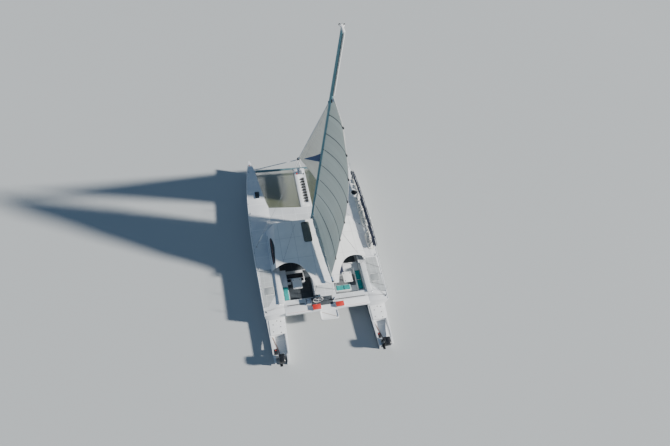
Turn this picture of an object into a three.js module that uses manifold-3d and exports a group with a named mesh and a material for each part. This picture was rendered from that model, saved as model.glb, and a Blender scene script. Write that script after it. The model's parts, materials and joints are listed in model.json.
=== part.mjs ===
// Sailing catamaran for day trips: two hulls, a bridge deck with an open saloon under a scalloped
// sunshade, a stayed mast with a reefed mainsail and a jib, and an outboard motor on each stern.
// Millimetres. +X is starboard, +Y forward, +Z up. The origin is on the waterline under the mast.
import * as THREE from 'three';
import { mergeVertices } from 'three/addons/utils/BufferGeometryUtils.js';
import Module from 'manifold-3d';

const wasm = await Module();
wasm.setup();

// Driving dimensions
const GAP = 0.3;

const DECK_Z = 1900;
const WING_DECK_BOTTOM_Z = 950;
const COCKPIT_FLOOR_Z = 1200;
const WING_DECK_SIDE_X = 3660;
const WING_DECK_FRONT_Y = 2400;
const WING_DECK_SWEEP = 260;
const WING_DECK_BACK_Y = -7950;
const HULL_STEP_Y = -8450;
const AFT_BEAM_BACK_Y = -8600;
const WELL_FRONT_Y = -750;
const WELL_BACK_Y = -7350;
const WELL_SIDE_X = 3560;

const STERN_DECK_Z = 950;
const STERN_STEP_Y = -9800;
const STERN_FLOOR_Z = 450;
const TRANSOM_BACK_Y = -11500;
const TRANSOM_THICKNESS = 90;
const TRANSOM_TOP_Z = 720;
const STERN_END_Y = -12100;
const MOTOR_WELL_HALF_WIDTH = 450;
const STERN_CENTRE_X = 4420;

const ROOF_Z = 3300;
const ROOF_THICKNESS = 70;
const ROOF_CROWN = 160;
const ROOF_FRONT_Y = -400;
const ROOF_CORNER_Y = -4850;
const ROOF_FRONT_HALF_WIDTH = 3600;
const ROOF_CORNER_HALF_WIDTH = 3950;
const ARCH_TOP_Y = -4450;
const STEM_HALF_WIDTH = 1000;
const STEM_BACK_Y = -7000;
const COACHROOF_FOOT_X = 4280;
const COACHROOF_WALL = 60;

const MAST_TOP_Z = 22600;
const MAST_HALF_CHORD = 180;
const MAST_HALF_WIDTH = 130;
const MAST_RAKE_DEG = 1.2;
const HOUNDS_Z = 17100;
const SPREADER_Z = 11300;
const SPREADER_REACH = 1300;
const CHAINPLATE_X = 5300;
const CHAINPLATE_Y = -1800;

const BOOM_Z = 4050;
const BOOM_LENGTH = 6850;
const BOOM_REST_DEG = 3.5;
const LUFF_AXIS_Y = -250;
const MAIN_FOOT_Z = 4250;
const MAIN_HEAD_Z = 17500;
const SAIL_THICKNESS = 14;

const STAY_FOOT = [0, 7600, 2620];
const STAY_HEAD_FORWARD = 175;
const FOIL_RADIUS = 28;

const CROSSBEAM_Y = 7150;
const CROSSBEAM_Z = 1700;
const CROSSBEAM_RADIUS = 120;
const SPINE_HALF_WIDTH = 540;
const SPINE_TOP_Z = 1800;
const NET_Z = 1720;

// Colours, as hexadecimal sRGB, with roughness and metalness
const PAINTS = {
  gelcoat: [0xe9ebea, 0.35, 0],
  nonskid: [0xd5d9da, 0.8, 0],
  sunshade: [0xecebe6, 0.7, 0],
  sailcloth: [0xb9bdb8, 0.6, 0],
  jibcloth: [0xc4c2b8, 0.6, 0],
  navy: [0x1c2a4a, 0.8, 0],
  net: [0x6f7560, 0.9, 0],
  alloy: [0x8d9db0, 0.4, 0.8],
  steel: [0xd0d2d4, 0.2, 1],
  smoked: [0x1b2024, 0.15, 0],
  grey: [0x8b9092, 0.6, 0],
  teal: [0x1e8a86, 0.8, 0],
  black: [0x17181a, 0.5, 0],
  red: [0xd93a2b, 0.5, 0],
  white: [0xf3f3f0, 0.4, 0],
};

// Geometry and solids

function solidOf(geometry) {
  const bare = geometry.clone();
  for (const name of Object.keys(bare.attributes)) {
    if (name !== 'position') bare.deleteAttribute(name);
  }
  const merged = mergeVertices(bare, 1e-3);
  const solid = new wasm.Manifold(new wasm.Mesh({
    numProp: 3,
    vertProperties: new Float32Array(merged.attributes.position.array),
    triVerts: new Uint32Array(merged.index.array),
  }));
  return solid;
}

function geometryOf(solid) {
  const mesh = solid.getMesh();
  const geometry = new THREE.BufferGeometry();
  geometry.setAttribute('position', new THREE.BufferAttribute(mesh.vertProperties, 3));
  geometry.setIndex(new THREE.BufferAttribute(mesh.triVerts, 1));
  return geometry;
}

// Joins a list of geometries or solids, then cuts another list from the result
function join(pieces, cuts = []) {
  const asSolid = (piece) => (piece.isBufferGeometry ? solidOf(piece) : piece);
  let solid = asSolid(pieces[0]);
  for (const piece of pieces.slice(1)) solid = solid.add(asSolid(piece));
  for (const cut of cuts) solid = solid.subtract(asSolid(cut));
  return solid;
}

function block(x0, x1, y0, y1, z0, z1) {
  const geometry = new THREE.BoxGeometry(Math.abs(x1 - x0), Math.abs(y1 - y0), Math.abs(z1 - z0));
  return geometry.translate((x0 + x1) / 2, (y0 + y1) / 2, (z0 + z1) / 2);
}

// A straight round bar between two points, tapering from radius to endRadius
function rod(start, end, radius, sides = 10, endRadius = radius) {
  const from = new THREE.Vector3(...start);
  const along = new THREE.Vector3(...end).sub(from);
  const geometry = new THREE.CylinderGeometry(endRadius, radius, along.length(), sides);
  geometry.translate(0, along.length() / 2, 0);
  geometry.applyQuaternion(
    new THREE.Quaternion().setFromUnitVectors(new THREE.Vector3(0, 1, 0), along.clone().normalize()));
  return geometry.translate(from.x, from.y, from.z);
}

// A round tube through a list of points
function tube(points, radius, sides = 8, stepsPerPoint = 3) {
  const path = new THREE.CatmullRomCurve3(points.map((p) => new THREE.Vector3(...p)));
  const shape = new THREE.Shape();
  for (let k = 0; k < sides; k += 1) {
    const angle = k / sides * 2 * Math.PI;
    const corner = [radius * Math.cos(angle), radius * Math.sin(angle)];
    if (k === 0) shape.moveTo(...corner);
    else shape.lineTo(...corner);
  }
  shape.closePath();
  return new THREE.ExtrudeGeometry(shape,
    { steps: stepsPerPoint * (points.length - 1), extrudePath: path, bevelEnabled: false });
}

// A closed geometry from quads and triangles given as lists of vertex numbers, turned to face outwards
function closedGeometry(points, faces) {
  const index = [];
  for (const face of faces) {
    for (let k = 1; k < face.length - 1; k += 1) index.push(face[0], face[k], face[k + 1]);
  }
  let volume = 0;
  for (let k = 0; k < index.length; k += 3) {
    const [a, b, c] = [0, 1, 2].map((j) => new THREE.Vector3(...points[index[k + j]]));
    volume += a.dot(b.cross(c));
  }
  if (volume < 0) index.reverse();
  const geometry = new THREE.BufferGeometry();
  geometry.setAttribute('position', new THREE.Float32BufferAttribute(points.flat(), 3));
  geometry.setIndex(index);
  return geometry;
}

// A skin over rings of points that all have the same count, closed by flat caps.
// capPlane names the two coordinates that the caps are triangulated in.
function loft(rings, capPlane = [0, 2]) {
  const count = rings[0].length;
  const faces = [];
  for (let r = 0; r < rings.length - 1; r += 1) {
    for (let k = 0; k < count; k += 1) {
      const next = (k + 1) % count;
      faces.push([r * count + k, r * count + next, (r + 1) * count + next, (r + 1) * count + k]);
    }
  }
  const flat = (ring) => ring.map((p) => new THREE.Vector2(p[capPlane[0]], p[capPlane[1]]));
  for (const [ring, offset] of [[rings[0], 0], [rings.at(-1), (rings.length - 1) * count]]) {
    for (const corners of THREE.ShapeUtils.triangulateShape(flat(ring), [])) {
      faces.push(corners.map((v) => v + offset));
    }
  }
  return closedGeometry(rings.flat(), orientCaps(faces, count));
}

// Turns the caps so that every edge is shared in opposite directions with the side walls
function orientCaps(faces, count) {
  const edges = new Set();
  for (const face of faces) {
    if (face.length === 4) face.forEach((v, k) => edges.add(`${v},${face[(k + 1) % 4]}`));
  }
  const capFaces = faces.filter((face) => face.length === 3);
  const sideFaces = faces.filter((face) => face.length === 4);
  const capEnds = [capFaces.filter((f) => f[0] < count), capFaces.filter((f) => f[0] >= count)];
  const turned = capEnds.map((cap) => {
    const clash = cap.some((f) => f.some((v, k) => edges.has(`${v},${f[(k + 1) % 3]}`)));
    return clash ? cap.map((f) => [...f].reverse()) : cap;
  });
  return [...sideFaces, ...turned[0], ...turned[1]];
}

// A thin solid over the grid point(u, v), thick along the given direction
function sheet(point, direction, thickness, uSteps, vSteps) {
  const points = [];
  for (const side of [0, 1]) {
    for (let v = 0; v <= vSteps; v += 1) {
      for (let u = 0; u <= uSteps; u += 1) {
        const p = point(u / uSteps, v / vSteps);
        points.push(p.map((value, k) => value + side * thickness * direction[k]));
      }
    }
  }
  const row = uSteps + 1;
  const layer = row * (vSteps + 1);
  const faces = [];
  for (let v = 0; v < vSteps; v += 1) {
    for (let u = 0; u < uSteps; u += 1) {
      const a = v * row + u;
      faces.push([a, a + 1, a + row + 1, a + row]);
      faces.push([layer + a, layer + a + row, layer + a + row + 1, layer + a + 1]);
    }
  }
  const rim = [];
  for (let u = 0; u < uSteps; u += 1) rim.push(u);
  for (let v = 0; v < vSteps; v += 1) rim.push(v * row + uSteps);
  for (let u = uSteps; u > 0; u -= 1) rim.push(vSteps * row + u);
  for (let v = vSteps; v > 0; v -= 1) rim.push(v * row);
  rim.forEach((a, k) => {
    const b = rim[(k + 1) % rim.length];
    faces.push([b, a, layer + a, layer + b]);
  });
  return closedGeometry(points, faces);
}

// Linear interpolation in a table of rows whose first column rises or falls steadily
function lookUp(table, at) {
  const rising = table[1][0] > table[0][0];
  const rows = rising ? table : [...table].reverse();
  if (at <= rows[0][0]) return rows[0];
  for (let k = 0; k < rows.length - 1; k += 1) {
    const [low, high] = [rows[k], rows[k + 1]];
    if (at <= high[0]) {
      const t = (at - low[0]) / (high[0] - low[0]);
      return low.map((value, c) => value + t * (high[c] - value));
    }
  }
  return rows.at(-1);
}

// Rows between the rows of a table, on a smooth curve that never overshoots them
function smoothRows(table, parts) {
  const slope = (k, c) => (table[k + 1][c] - table[k][c]) / (table[k + 1][0] - table[k][0]);
  const tangent = (k, c) => {
    if (k === 0) return slope(0, c);
    if (k === table.length - 1) return slope(k - 1, c);
    const [before, after] = [slope(k - 1, c), slope(k, c)];
    return before * after > 0 ? 2 * before * after / (before + after) : 0;
  };
  const rows = [];
  for (let k = 0; k < table.length - 1; k += 1) {
    const [low, high] = [table[k], table[k + 1]];
    const span = high[0] - low[0];
    for (let j = 0; j < parts; j += 1) {
      const t = j / parts;
      rows.push(low.map((value, c) => (c === 0 ? value + t * span
        : (1 + 2 * t) * (1 - t) ** 2 * value + t * (1 - t) ** 2 * span * tangent(k, c)
          + t * t * (3 - 2 * t) * high[c] + t * t * (t - 1) * span * tangent(k + 1, c))));
    }
  }
  rows.push(table.at(-1));
  return rows;
}

// A closed ring with rounded corners in the XY plane at height z
function roundedRing(cx, cy, halfX, halfY, corner, z, steps = 3) {
  const ring = [];
  for (const [sx, sy, turn] of [[1, 1, 0], [-1, 1, 1], [-1, -1, 2], [1, -1, 3]]) {
    for (let k = 0; k <= steps; k += 1) {
      const angle = (turn + k / steps) * Math.PI / 2;
      ring.push([
        cx + sx * (halfX - corner) + corner * Math.cos(angle),
        cy + sy * (halfY - corner) + corner * Math.sin(angle),
        z,
      ]);
    }
  }
  return ring;
}

// A flat slab with rounded corners
function slab(cx, cy, width, length, corner, z0, z1) {
  const ring = (z) => roundedRing(cx, cy, width / 2, length / 2, corner, z);
  return loft([ring(z0), ring(z1)], [0, 1]);
}

const scene = new THREE.Group();

function place(name, shape, paint) {
  const geometry = shape.isBufferGeometry ? shape : geometryOf(shape);
  const [color, roughness, metalness] = PAINTS[paint];
  const mesh = new THREE.Mesh(geometry, new THREE.MeshStandardMaterial({ color, roughness, metalness }));
  mesh.name = name;
  scene.add(mesh);
  return mesh;
}

const SIDES = [['port', -1], ['starboard', 1]];

// Hulls

// Stations of the starboard hull:
// y, outer deck edge x, inner deck edge x, deck z, half beam at the waterline, keel z, inner wall tuck
const HULL_STATIONS = [
  [8330, 4925, 4865, 2050, 15, -20, 0.5],
  [7900, 5040, 4700, 2030, 60, -160, 0.5],
  [7000, 5220, 4470, 2000, 190, -330, 0.5],
  [5600, 5400, 4240, 1960, 340, -520, 0.5],
  [4200, 5530, 4010, 1930, 460, -620, 0.5],
  [2900, 5600, 3790, DECK_Z, 550, -690, 0.3],
  [2400, 5610, 3660, DECK_Z, 580, -710, 0],
  [0, 5660, 3660, DECK_Z, 640, -750, 0],
  [-2800, 5610, 3660, DECK_Z, 640, -730, 0],
  [-5600, 5490, 3660, DECK_Z, 600, -640, 0],
  [-8450, 5370, 3660, DECK_Z, 540, -480, 0],
  [-10200, 5240, 3640, DECK_Z, 500, -330, 0.2],
  [STERN_END_Y, 5130, 3700, DECK_Z, 460, -190, 0.3],
];
const HULL_CURVE = smoothRows(HULL_STATIONS, 2);

const HULL_CHINE_Z = 200;
function hullRing([y, outer, inner, deck, halfBeam, keel, tuck]) {
  const inset = 100 * THREE.MathUtils.clamp((6000 - y) / 3600, 0, 1);
  const centre = Math.max((outer + inner) / 2 - inset, 4400);
  const innerWater = centre - halfBeam;
  const outerWater = centre + halfBeam;
  const innerShoulder = inner + tuck * (innerWater - inner);
  const outerShoulder = outer + 0.35 * (outerWater - outer);
  const wingZ = Math.min(WING_DECK_BOTTOM_Z, deck * 0.6);
  const bilge = [[1, 0], [0.94, 0.3], [0.78, 0.58], [0.52, 0.82], [0.26, 0.95]];
  return [
    [outer, y, deck], [inner, y, deck], [innerShoulder, y, wingZ], [innerWater, y, HULL_CHINE_Z],
    ...bilge.map(([across, down]) => [centre - across * halfBeam, y, keel * down]),
    [centre, y, keel],
    ...bilge.toReversed().map(([across, down]) => [centre + across * halfBeam, y, keel * down]),
    [outerWater, y, HULL_CHINE_Z], [outerShoulder, y, wingZ],
  ];
}

const RUDDER_Y = -10550;
const RUDDER_STOCK_RADIUS = 32;
const RUDDER_TOP_Z = -360;

function hullSolid() {
  const skin = solidOf(loft(HULL_CURVE.map(hullRing)));
  const far = 9000;
  const sternCut = block(0, far, HULL_STEP_Y, -far * 2, STERN_DECK_Z, far);
  const floorCut = block(
    STERN_CENTRE_X - 560, STERN_CENTRE_X + 560, STERN_STEP_Y, TRANSOM_BACK_Y + TRANSOM_THICKNESS,
    STERN_FLOOR_Z, far);
  const transomCut = block(
    STERN_CENTRE_X - 560, STERN_CENTRE_X + 560, TRANSOM_BACK_Y + TRANSOM_THICKNESS + 1,
    TRANSOM_BACK_Y - 1, TRANSOM_TOP_Z, far);
  const motorWell = block(
    STERN_CENTRE_X - MOTOR_WELL_HALF_WIDTH, STERN_CENTRE_X + MOTOR_WELL_HALF_WIDTH,
    TRANSOM_BACK_Y, -far * 2, -far, far);
  const rudderBore = rod([STERN_CENTRE_X, RUDDER_Y, RUDDER_TOP_Z - 200],
    [STERN_CENTRE_X, RUDDER_Y, 200], RUDDER_STOCK_RADIUS + 0.8, 24);
  return join([skin], [sternCut, floorCut, transomCut, motorWell, rudderBore]);
}

// The mirror image of a solid through the boat's centre plane
function mirrored(solid) {
  const geometry = geometryOf(solid);
  geometry.scale(-1, 1, 1);
  geometry.index.array.reverse();
  return geometry;
}

// A low keel under the hull, and the cockpit coaming moulded on its deck
const KEEL_PROFILE = [[1800, -500], [1200, -1250], [-1500, -1250], [-1900, -500]];
const KEEL_CENTRE_X = 4540;
const COAMING_TOP_Z = 2060;
const COAMING_SECTION = [
  [3660, DECK_Z - 50], [4130, DECK_Z - 50], [4040, COAMING_TOP_Z], [3660, COAMING_TOP_Z]];

function extrudeAlongX(profile, x, thickness) {
  const shape = new THREE.Shape(profile.map(([y, z]) => new THREE.Vector2(y, z)));
  const bar = new THREE.ExtrudeGeometry(shape, { depth: thickness, bevelEnabled: false });
  return bar.rotateX(Math.PI / 2).rotateZ(Math.PI / 2).translate(x, 0, 0);
}

function extrudeAlongY(profile, y, length) {
  const shape = new THREE.Shape(profile.map(([x, z]) => new THREE.Vector2(x, z)));
  const bar = new THREE.ExtrudeGeometry(shape, { depth: length, bevelEnabled: false });
  return bar.rotateX(Math.PI / 2).translate(0, y, 0);
}

// The port hull has a square foredeck hatch and the starboard one a round hatch, each on a raised rim
const HATCH_RIM_TOP_Z = 1960;
const FOREDECK_HATCH = [-4560, 3980];
const ROUND_HATCH = [5000, 3270];
const bareHull = join([
  hullSolid(), extrudeAlongX(KEEL_PROFILE, KEEL_CENTRE_X - 80, 160),
  extrudeAlongY(COAMING_SECTION, -4700, 2900)]);
const roundRim = rod([...ROUND_HATCH, 1800], [...ROUND_HATCH, HATCH_RIM_TOP_Z], 330, 24);
const starboardHull = join([bareHull, roundRim]);
const portHull = join([mirrored(bareHull), slab(...FOREDECK_HATCH, 480, 840, 70, 1800, HATCH_RIM_TOP_Z)]);
place('hull_starboard', starboardHull, 'gelcoat');
place('hull_port', portHull, 'gelcoat');

// Bridge deck: one slab with a sunken saloon and two cockpits round a raised centre walk
const WALK_HALF_WIDTH = 900;
const WALK_FRONT_Y = -5350;
const deckRing = (z) => [
  [-WING_DECK_SIDE_X, WING_DECK_BACK_Y, z], [WING_DECK_SIDE_X, WING_DECK_BACK_Y, z],
  [WING_DECK_SIDE_X, WING_DECK_FRONT_Y, z], [SPINE_HALF_WIDTH, WING_DECK_FRONT_Y - WING_DECK_SWEEP, z],
  [-SPINE_HALF_WIDTH, WING_DECK_FRONT_Y - WING_DECK_SWEEP, z], [-WING_DECK_SIDE_X, WING_DECK_FRONT_Y, z]];
const deckSlab = solidOf(loft([deckRing(WING_DECK_BOTTOM_Z), deckRing(DECK_Z)], [0, 1]));
const well = block(-WELL_SIDE_X, WELL_SIDE_X, WELL_BACK_Y, WELL_FRONT_Y, COCKPIT_FLOOR_Z, 9000);
const centreWalk = block(-WALK_HALF_WIDTH, WALK_HALF_WIDTH, WELL_BACK_Y, WALK_FRONT_Y,
  WING_DECK_BOTTOM_Z + 10, DECK_Z);
place('bridge_deck', join([deckSlab], [solidOf(well).subtract(solidOf(centreWalk))]), 'nonskid');

// Aft beam between the hulls: its section in y and z
const AFT_BEAM_SECTION = [
  [WING_DECK_BACK_Y - GAP, 1020], [WING_DECK_BACK_Y - GAP, DECK_Z], [AFT_BEAM_BACK_Y + 40, DECK_Z],
  [AFT_BEAM_BACK_Y, DECK_Z - 40], [AFT_BEAM_BACK_Y, 1600], [AFT_BEAM_BACK_Y + 380, 1020]];
place('aft_beam', extrudeAlongX(AFT_BEAM_SECTION, -WING_DECK_SIDE_X, 2 * WING_DECK_SIDE_X), 'gelcoat');

// A slab that follows the roof's crown, between two heights measured from the roof's top
function crownedSlab(below, above) {
  const rings = [];
  for (let k = 0; k <= 16; k += 1) {
    const x = -4400 + 550 * k;
    const z = ROOF_Z + ROOF_CROWN * (1 - (x / 4000) ** 2);
    rings.push([[x, 1000, z + above], [x, -8500, z + above], [x, -8500, z + below], [x, 1000, z + below]]);
  }
  return solidOf(loft(rings, [1, 2]));
}

// Coachroof: sloping walls round the saloon, open aft, with windows cut
const COACHROOF_FRONT_Y = -240;
const COACHROOF_BACK_Y = -4450;
function coachroofPrism(inset, z0, z1, front, back) {
  const foot = COACHROOF_FOOT_X - inset;
  const top = ROOF_FRONT_HALF_WIDTH - 40 - inset;
  const rise = ROOF_Z - DECK_Z;
  const xAt = (z) => foot + (top - foot) * (z - DECK_Z) / rise;
  const frontAt = (z) => front - (z - DECK_Z) * 0.14;
  const ring = (z) => [
    [-xAt(z), back, z], [xAt(z), back, z], [xAt(z), frontAt(z), z], [-xAt(z), frontAt(z), z]];
  return loft([ring(z0), ring(z1)], [0, 1]);
}

// The long lens-shaped side windows: an outline in y and z cut straight through both walls
function sideWindowCut() {
  const middleY = -2700;
  const halfLength = 1350;
  const shape = new THREE.Shape();
  shape.moveTo(middleY - halfLength, 2350);
  shape.quadraticCurveTo(middleY, 2150, middleY + halfLength, 2350);
  shape.lineTo(middleY + halfLength - 80, 2560);
  shape.quadraticCurveTo(middleY, 3150, middleY - halfLength + 80, 2560);
  shape.closePath();
  const cut = new THREE.ExtrudeGeometry(shape, { depth: 10000, bevelEnabled: false, curveSegments: 6 });
  return cut.rotateX(Math.PI / 2).rotateZ(Math.PI / 2).translate(-5000, 0, 0);
}
const FRONT_WINDOWS = [-2350, -1180, 1180, 2350];
const frontWindowCuts = FRONT_WINDOWS.map((x) => block(x - 480, x + 480, -1200, 400, 2300, 2900));
place('coachroof', join(
  [coachroofPrism(0, DECK_Z + GAP, ROOF_Z + 300, COACHROOF_FRONT_Y, COACHROOF_BACK_Y)],
  [coachroofPrism(COACHROOF_WALL, DECK_Z - 10, ROOF_Z + 400, COACHROOF_FRONT_Y - COACHROOF_WALL, -5000),
    sideWindowCut(), ...frontWindowCuts, crownedSlab(-ROOF_THICKNESS - GAP, 1000)]), 'gelcoat');

// Sunshade over the saloon: a crowned sheet cut to a scalloped outline
function roofOutline() {
  const shape = new THREE.Shape();
  shape.moveTo(-ROOF_FRONT_HALF_WIDTH, ROOF_FRONT_Y);
  shape.lineTo(-ROOF_CORNER_HALF_WIDTH, ROOF_CORNER_Y);
  shape.bezierCurveTo(-3300, ARCH_TOP_Y + 120, -2300, ARCH_TOP_Y, -1850, -5000);
  shape.quadraticCurveTo(-1250, -5750, -STEM_HALF_WIDTH, STEM_BACK_Y);
  shape.lineTo(STEM_HALF_WIDTH, STEM_BACK_Y);
  shape.quadraticCurveTo(1250, -5750, 1850, -5000);
  shape.bezierCurveTo(2300, ARCH_TOP_Y, 3300, ARCH_TOP_Y + 120, ROOF_CORNER_HALF_WIDTH, ROOF_CORNER_Y);
  shape.lineTo(ROOF_FRONT_HALF_WIDTH, ROOF_FRONT_Y);
  shape.closePath();
  return shape;
}

const roofPrism = new THREE.ExtrudeGeometry(roofOutline(),
  { depth: 1500, bevelEnabled: false, curveSegments: 8 }).translate(0, 0, 2800);
place('sunshade_roof', crownedSlab(-ROOF_THICKNESS, 0).intersect(solidOf(roofPrism)), 'sunshade');

// Dark panel on the roof beside the mast
const panelPrism = slab(-815, -1700, 750, 2100, 150, 3000, 4000);
place('roof_panel', crownedSlab(GAP, 35).intersect(solidOf(panelPrism)), 'smoked');

// Posts under the shade's corners and stem, joined by a tube under the scalloped edge
const underRoof = crownedSlab(-ROOF_THICKNESS - GAP, 1000);
const frameTop = (x) => ROOF_Z + ROOF_CROWN * (1 - (x / 4000) ** 2) - ROOF_THICKNESS - 28;
const ARCH_POINTS = [
  [3850, -4720], [3300, -4480], [2600, -4430], [1900, -4850], [1350, -5500], [1030, -6200], [850, -6900]];
const SHADE_TUBE_RADIUS = 26;
const archFrame = [];
for (const sign of [-1, 1]) {
  const arch = ARCH_POINTS.map(([x, y]) => [sign * x, y, frameTop(x)]);
  archFrame.push(tube(arch, SHADE_TUBE_RADIUS, 8, 2));
  archFrame.push(
    rod([sign * 3850, -4720, COAMING_TOP_Z + GAP], [sign * 3850, -4720, 3400], SHADE_TUBE_RADIUS, 12));
  archFrame.push(rod([sign * 850, -6900, DECK_Z + GAP], [sign * 850, -6900, 3500], SHADE_TUBE_RADIUS, 12));
}
archFrame.push(rod([-850, -6900, frameTop(850)], [850, -6900, frameTop(850)], SHADE_TUBE_RADIUS, 8));
place('shade_frame', join(archFrame, [underRoof]), 'steel');

// Mast and standing rigging

// Leans a shape, or a point, aft with the mast about its foot
const MAST_RAKE = THREE.MathUtils.degToRad(MAST_RAKE_DEG);
function raked(shape) {
  const geometry = shape.isBufferGeometry ? shape : geometryOf(shape);
  return geometry.translate(0, 0, -DECK_Z).rotateX(MAST_RAKE).translate(0, 0, DECK_Z);
}
const rakedPoint = ([x, y, z]) => new THREE.Vector3(x, y, z - DECK_Z)
  .applyAxisAngle(new THREE.Vector3(1, 0, 0), MAST_RAKE).add(new THREE.Vector3(0, 0, DECK_Z)).toArray();

// Mast sections: z, half chord, half width
const MAST_SECTIONS = [
  [DECK_Z - 20, MAST_HALF_CHORD, MAST_HALF_WIDTH],
  [HOUNDS_Z, MAST_HALF_CHORD, MAST_HALF_WIDTH],
  [MAST_TOP_Z, MAST_HALF_CHORD * 0.72, MAST_HALF_WIDTH * 0.72],
];
function mastSolid(grow) {
  const rings = MAST_SECTIONS.map(([z, halfChord, halfWidth]) => {
    const ring = [];
    for (let k = 0; k < 20; k += 1) {
      const angle = k / 20 * 2 * Math.PI;
      ring.push([(halfWidth + grow) * Math.cos(angle), (halfChord + grow) * Math.sin(angle), z]);
    }
    return ring;
  });
  return solidOf(loft(rings, [0, 1]));
}
const grownMast = mastSolid(GAP);

const stayFoot = new THREE.Vector3(...STAY_FOOT);
const stayHead = rakedPoint([0, STAY_HEAD_FORWARD, HOUNDS_Z - 40]);
const stayLine = new THREE.Vector3(...stayHead).sub(stayFoot);
const stayLength = stayLine.length();
const stayDirection = stayLine.clone().normalize();
const onStay = (distance) => stayFoot.clone().addScaledVector(stayDirection, distance).toArray();

// Spreader wedges and the diamond stays over their tips, on one collar round the mast
const spreaderParts = [];
const collarRing = (z, grow) => {
  const ring = [];
  for (let k = 0; k < 20; k += 1) {
    const angle = k / 20 * 2 * Math.PI;
    ring.push([(MAST_HALF_WIDTH + grow) * Math.cos(angle), (MAST_HALF_CHORD + grow) * Math.sin(angle), z]);
  }
  return ring;
};
spreaderParts.push(loft([collarRing(SPREADER_Z - 360, 18), collarRing(SPREADER_Z + 680, 18)], [0, 1]));
for (const sign of [-1, 1]) {
  const wedge = (x, y, halfY, below, above, z) => [
    [sign * x, y - halfY, z], [sign * x, y, z - below], [sign * x, y + halfY, z], [sign * x, y, z + above]];
  const tip = [sign * SPREADER_REACH, 80, SPREADER_Z + 60];
  spreaderParts.push(loft([
    wedge(60, 0, 45, 330, 650, SPREADER_Z),
    wedge(SPREADER_REACH + 10, 80, 25, 35, 35, SPREADER_Z + 60)], [1, 2]));
  spreaderParts.push(rod(tip, [sign * 60, 0, HOUNDS_Z - 500], 9, 8));
  spreaderParts.push(rod(tip, [sign * 60, 0, 5200], 9, 8));
  spreaderParts.push(new THREE.SphereGeometry(30, 8, 6).translate(...tip));
}
const sailTrackSlot = block(-80, 80, -400, -110, SPREADER_Z - 400, SPREADER_Z + 800);
place('spreaders', raked(join(spreaderParts, [grownMast, sailTrackSlot])), 'navy');

const hound = (sign, grow) => block(sign * (180 + grow), 0, -110 - grow, 30 + grow,
  HOUNDS_Z - 50 - grow, HOUNDS_Z + 50);

// Shrouds with their chainplates on the hull decks
for (const [side, sign] of SIDES) {
  const foot = new THREE.Vector3(sign * CHAINPLATE_X, CHAINPLATE_Y, DECK_Z - 40);
  const head = new THREE.Vector3(...rakedPoint([sign * 158, -50, HOUNDS_Z]));
  const upTo = (distance) => foot.clone().lerp(head, distance / foot.distanceTo(head)).toArray();
  const hull = sign > 0 ? starboardHull : portHull;
  place(`shroud_${side}`, join(
    [rod(upTo(0), upTo(120), 70, 12), rod(upTo(0), upTo(600), 30, 12),
      rod(upTo(0), upTo(foot.distanceTo(head)), 11, 12)],
    [raked(hound(sign, GAP)), hull.translate([0, 0, GAP])]), 'steel');
}

// Boom, reefed folds and mainsail, swung about the gooseneck pin
const PIN_RADIUS = 16;
const BARREL_RADIUS = 42;
const BARREL_HALF_HEIGHT = 70;
const gooseneckPlates = [-1, 1].map((sign) => {
  const z = BOOM_Z + sign * (BARREL_HALF_HEIGHT + 6 + 10);
  return block(-38, 38, LUFF_AXIS_Y - 38, 0, z - 10, z + 10);
});
const gooseneckPin = rod([0, LUFF_AXIS_Y, BOOM_Z - 90], [0, LUFF_AXIS_Y, BOOM_Z + 90], PIN_RADIUS, 16);
const gooseneckBack = block(-38, 38, -198, 0, BOOM_Z - 96, BOOM_Z + 96);
const [, mastheadY, mastheadZ] = rakedPoint([0, -60, MAST_TOP_Z]);
const masthead = block(-60, 60, mastheadY - 360, mastheadY + 360, mastheadZ - 40, mastheadZ + 60);
const mastStep = slab(0, 0, 480, 440, 60, DECK_Z - 20, DECK_Z + 40);
const underStep = block(-400, 400, -400, 400, DECK_Z - 200, DECK_Z + GAP);
const forestayTang = rod(onStay(stayLength - 160 + GAP), onStay(stayLength + 150), 18, 10);
const uprightMast = join([mastSolid(0), mastStep, ...gooseneckPlates, gooseneckPin, gooseneckBack,
  hound(-1, 0), hound(1, 0)]);
place('mast', join([raked(uprightMast), masthead, forestayTang], [underStep]), 'alloy');

function swungAboutPin(solid) {
  return geometryOf(solid).translate(0, -LUFF_AXIS_Y, 0).rotateZ(THREE.MathUtils.degToRad(BOOM_REST_DEG))
    .translate(0, LUFF_AXIS_Y, 0);
}
const boomRing = (y, halfX, halfZ, z = BOOM_Z, count = 16) => {
  const ring = [];
  for (let k = 0; k < count; k += 1) {
    const angle = k / count * 2 * Math.PI;
    ring.push([halfX * Math.cos(angle), y, z + halfZ * Math.sin(angle)]);
  }
  return ring;
};
const boomEndY = LUFF_AXIS_Y - BOOM_LENGTH;
const boomTube = loft([
  boomRing(LUFF_AXIS_Y - 20, 24, 50), boomRing(LUFF_AXIS_Y - 130, 90, 110), boomRing(boomEndY, 90, 110)]);
const barrel = rod([0, LUFF_AXIS_Y, BOOM_Z - BARREL_HALF_HEIGHT],
  [0, LUFF_AXIS_Y, BOOM_Z + BARREL_HALF_HEIGHT], BARREL_RADIUS, 16);
const pinHole = rod([0, LUFF_AXIS_Y, BOOM_Z - 200], [0, LUFF_AXIS_Y, BOOM_Z + 200], PIN_RADIUS + 0.8, 16);
place('boom', raked(swungAboutPin(join([boomTube, barrel], [pinHole]))), 'alloy');

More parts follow.
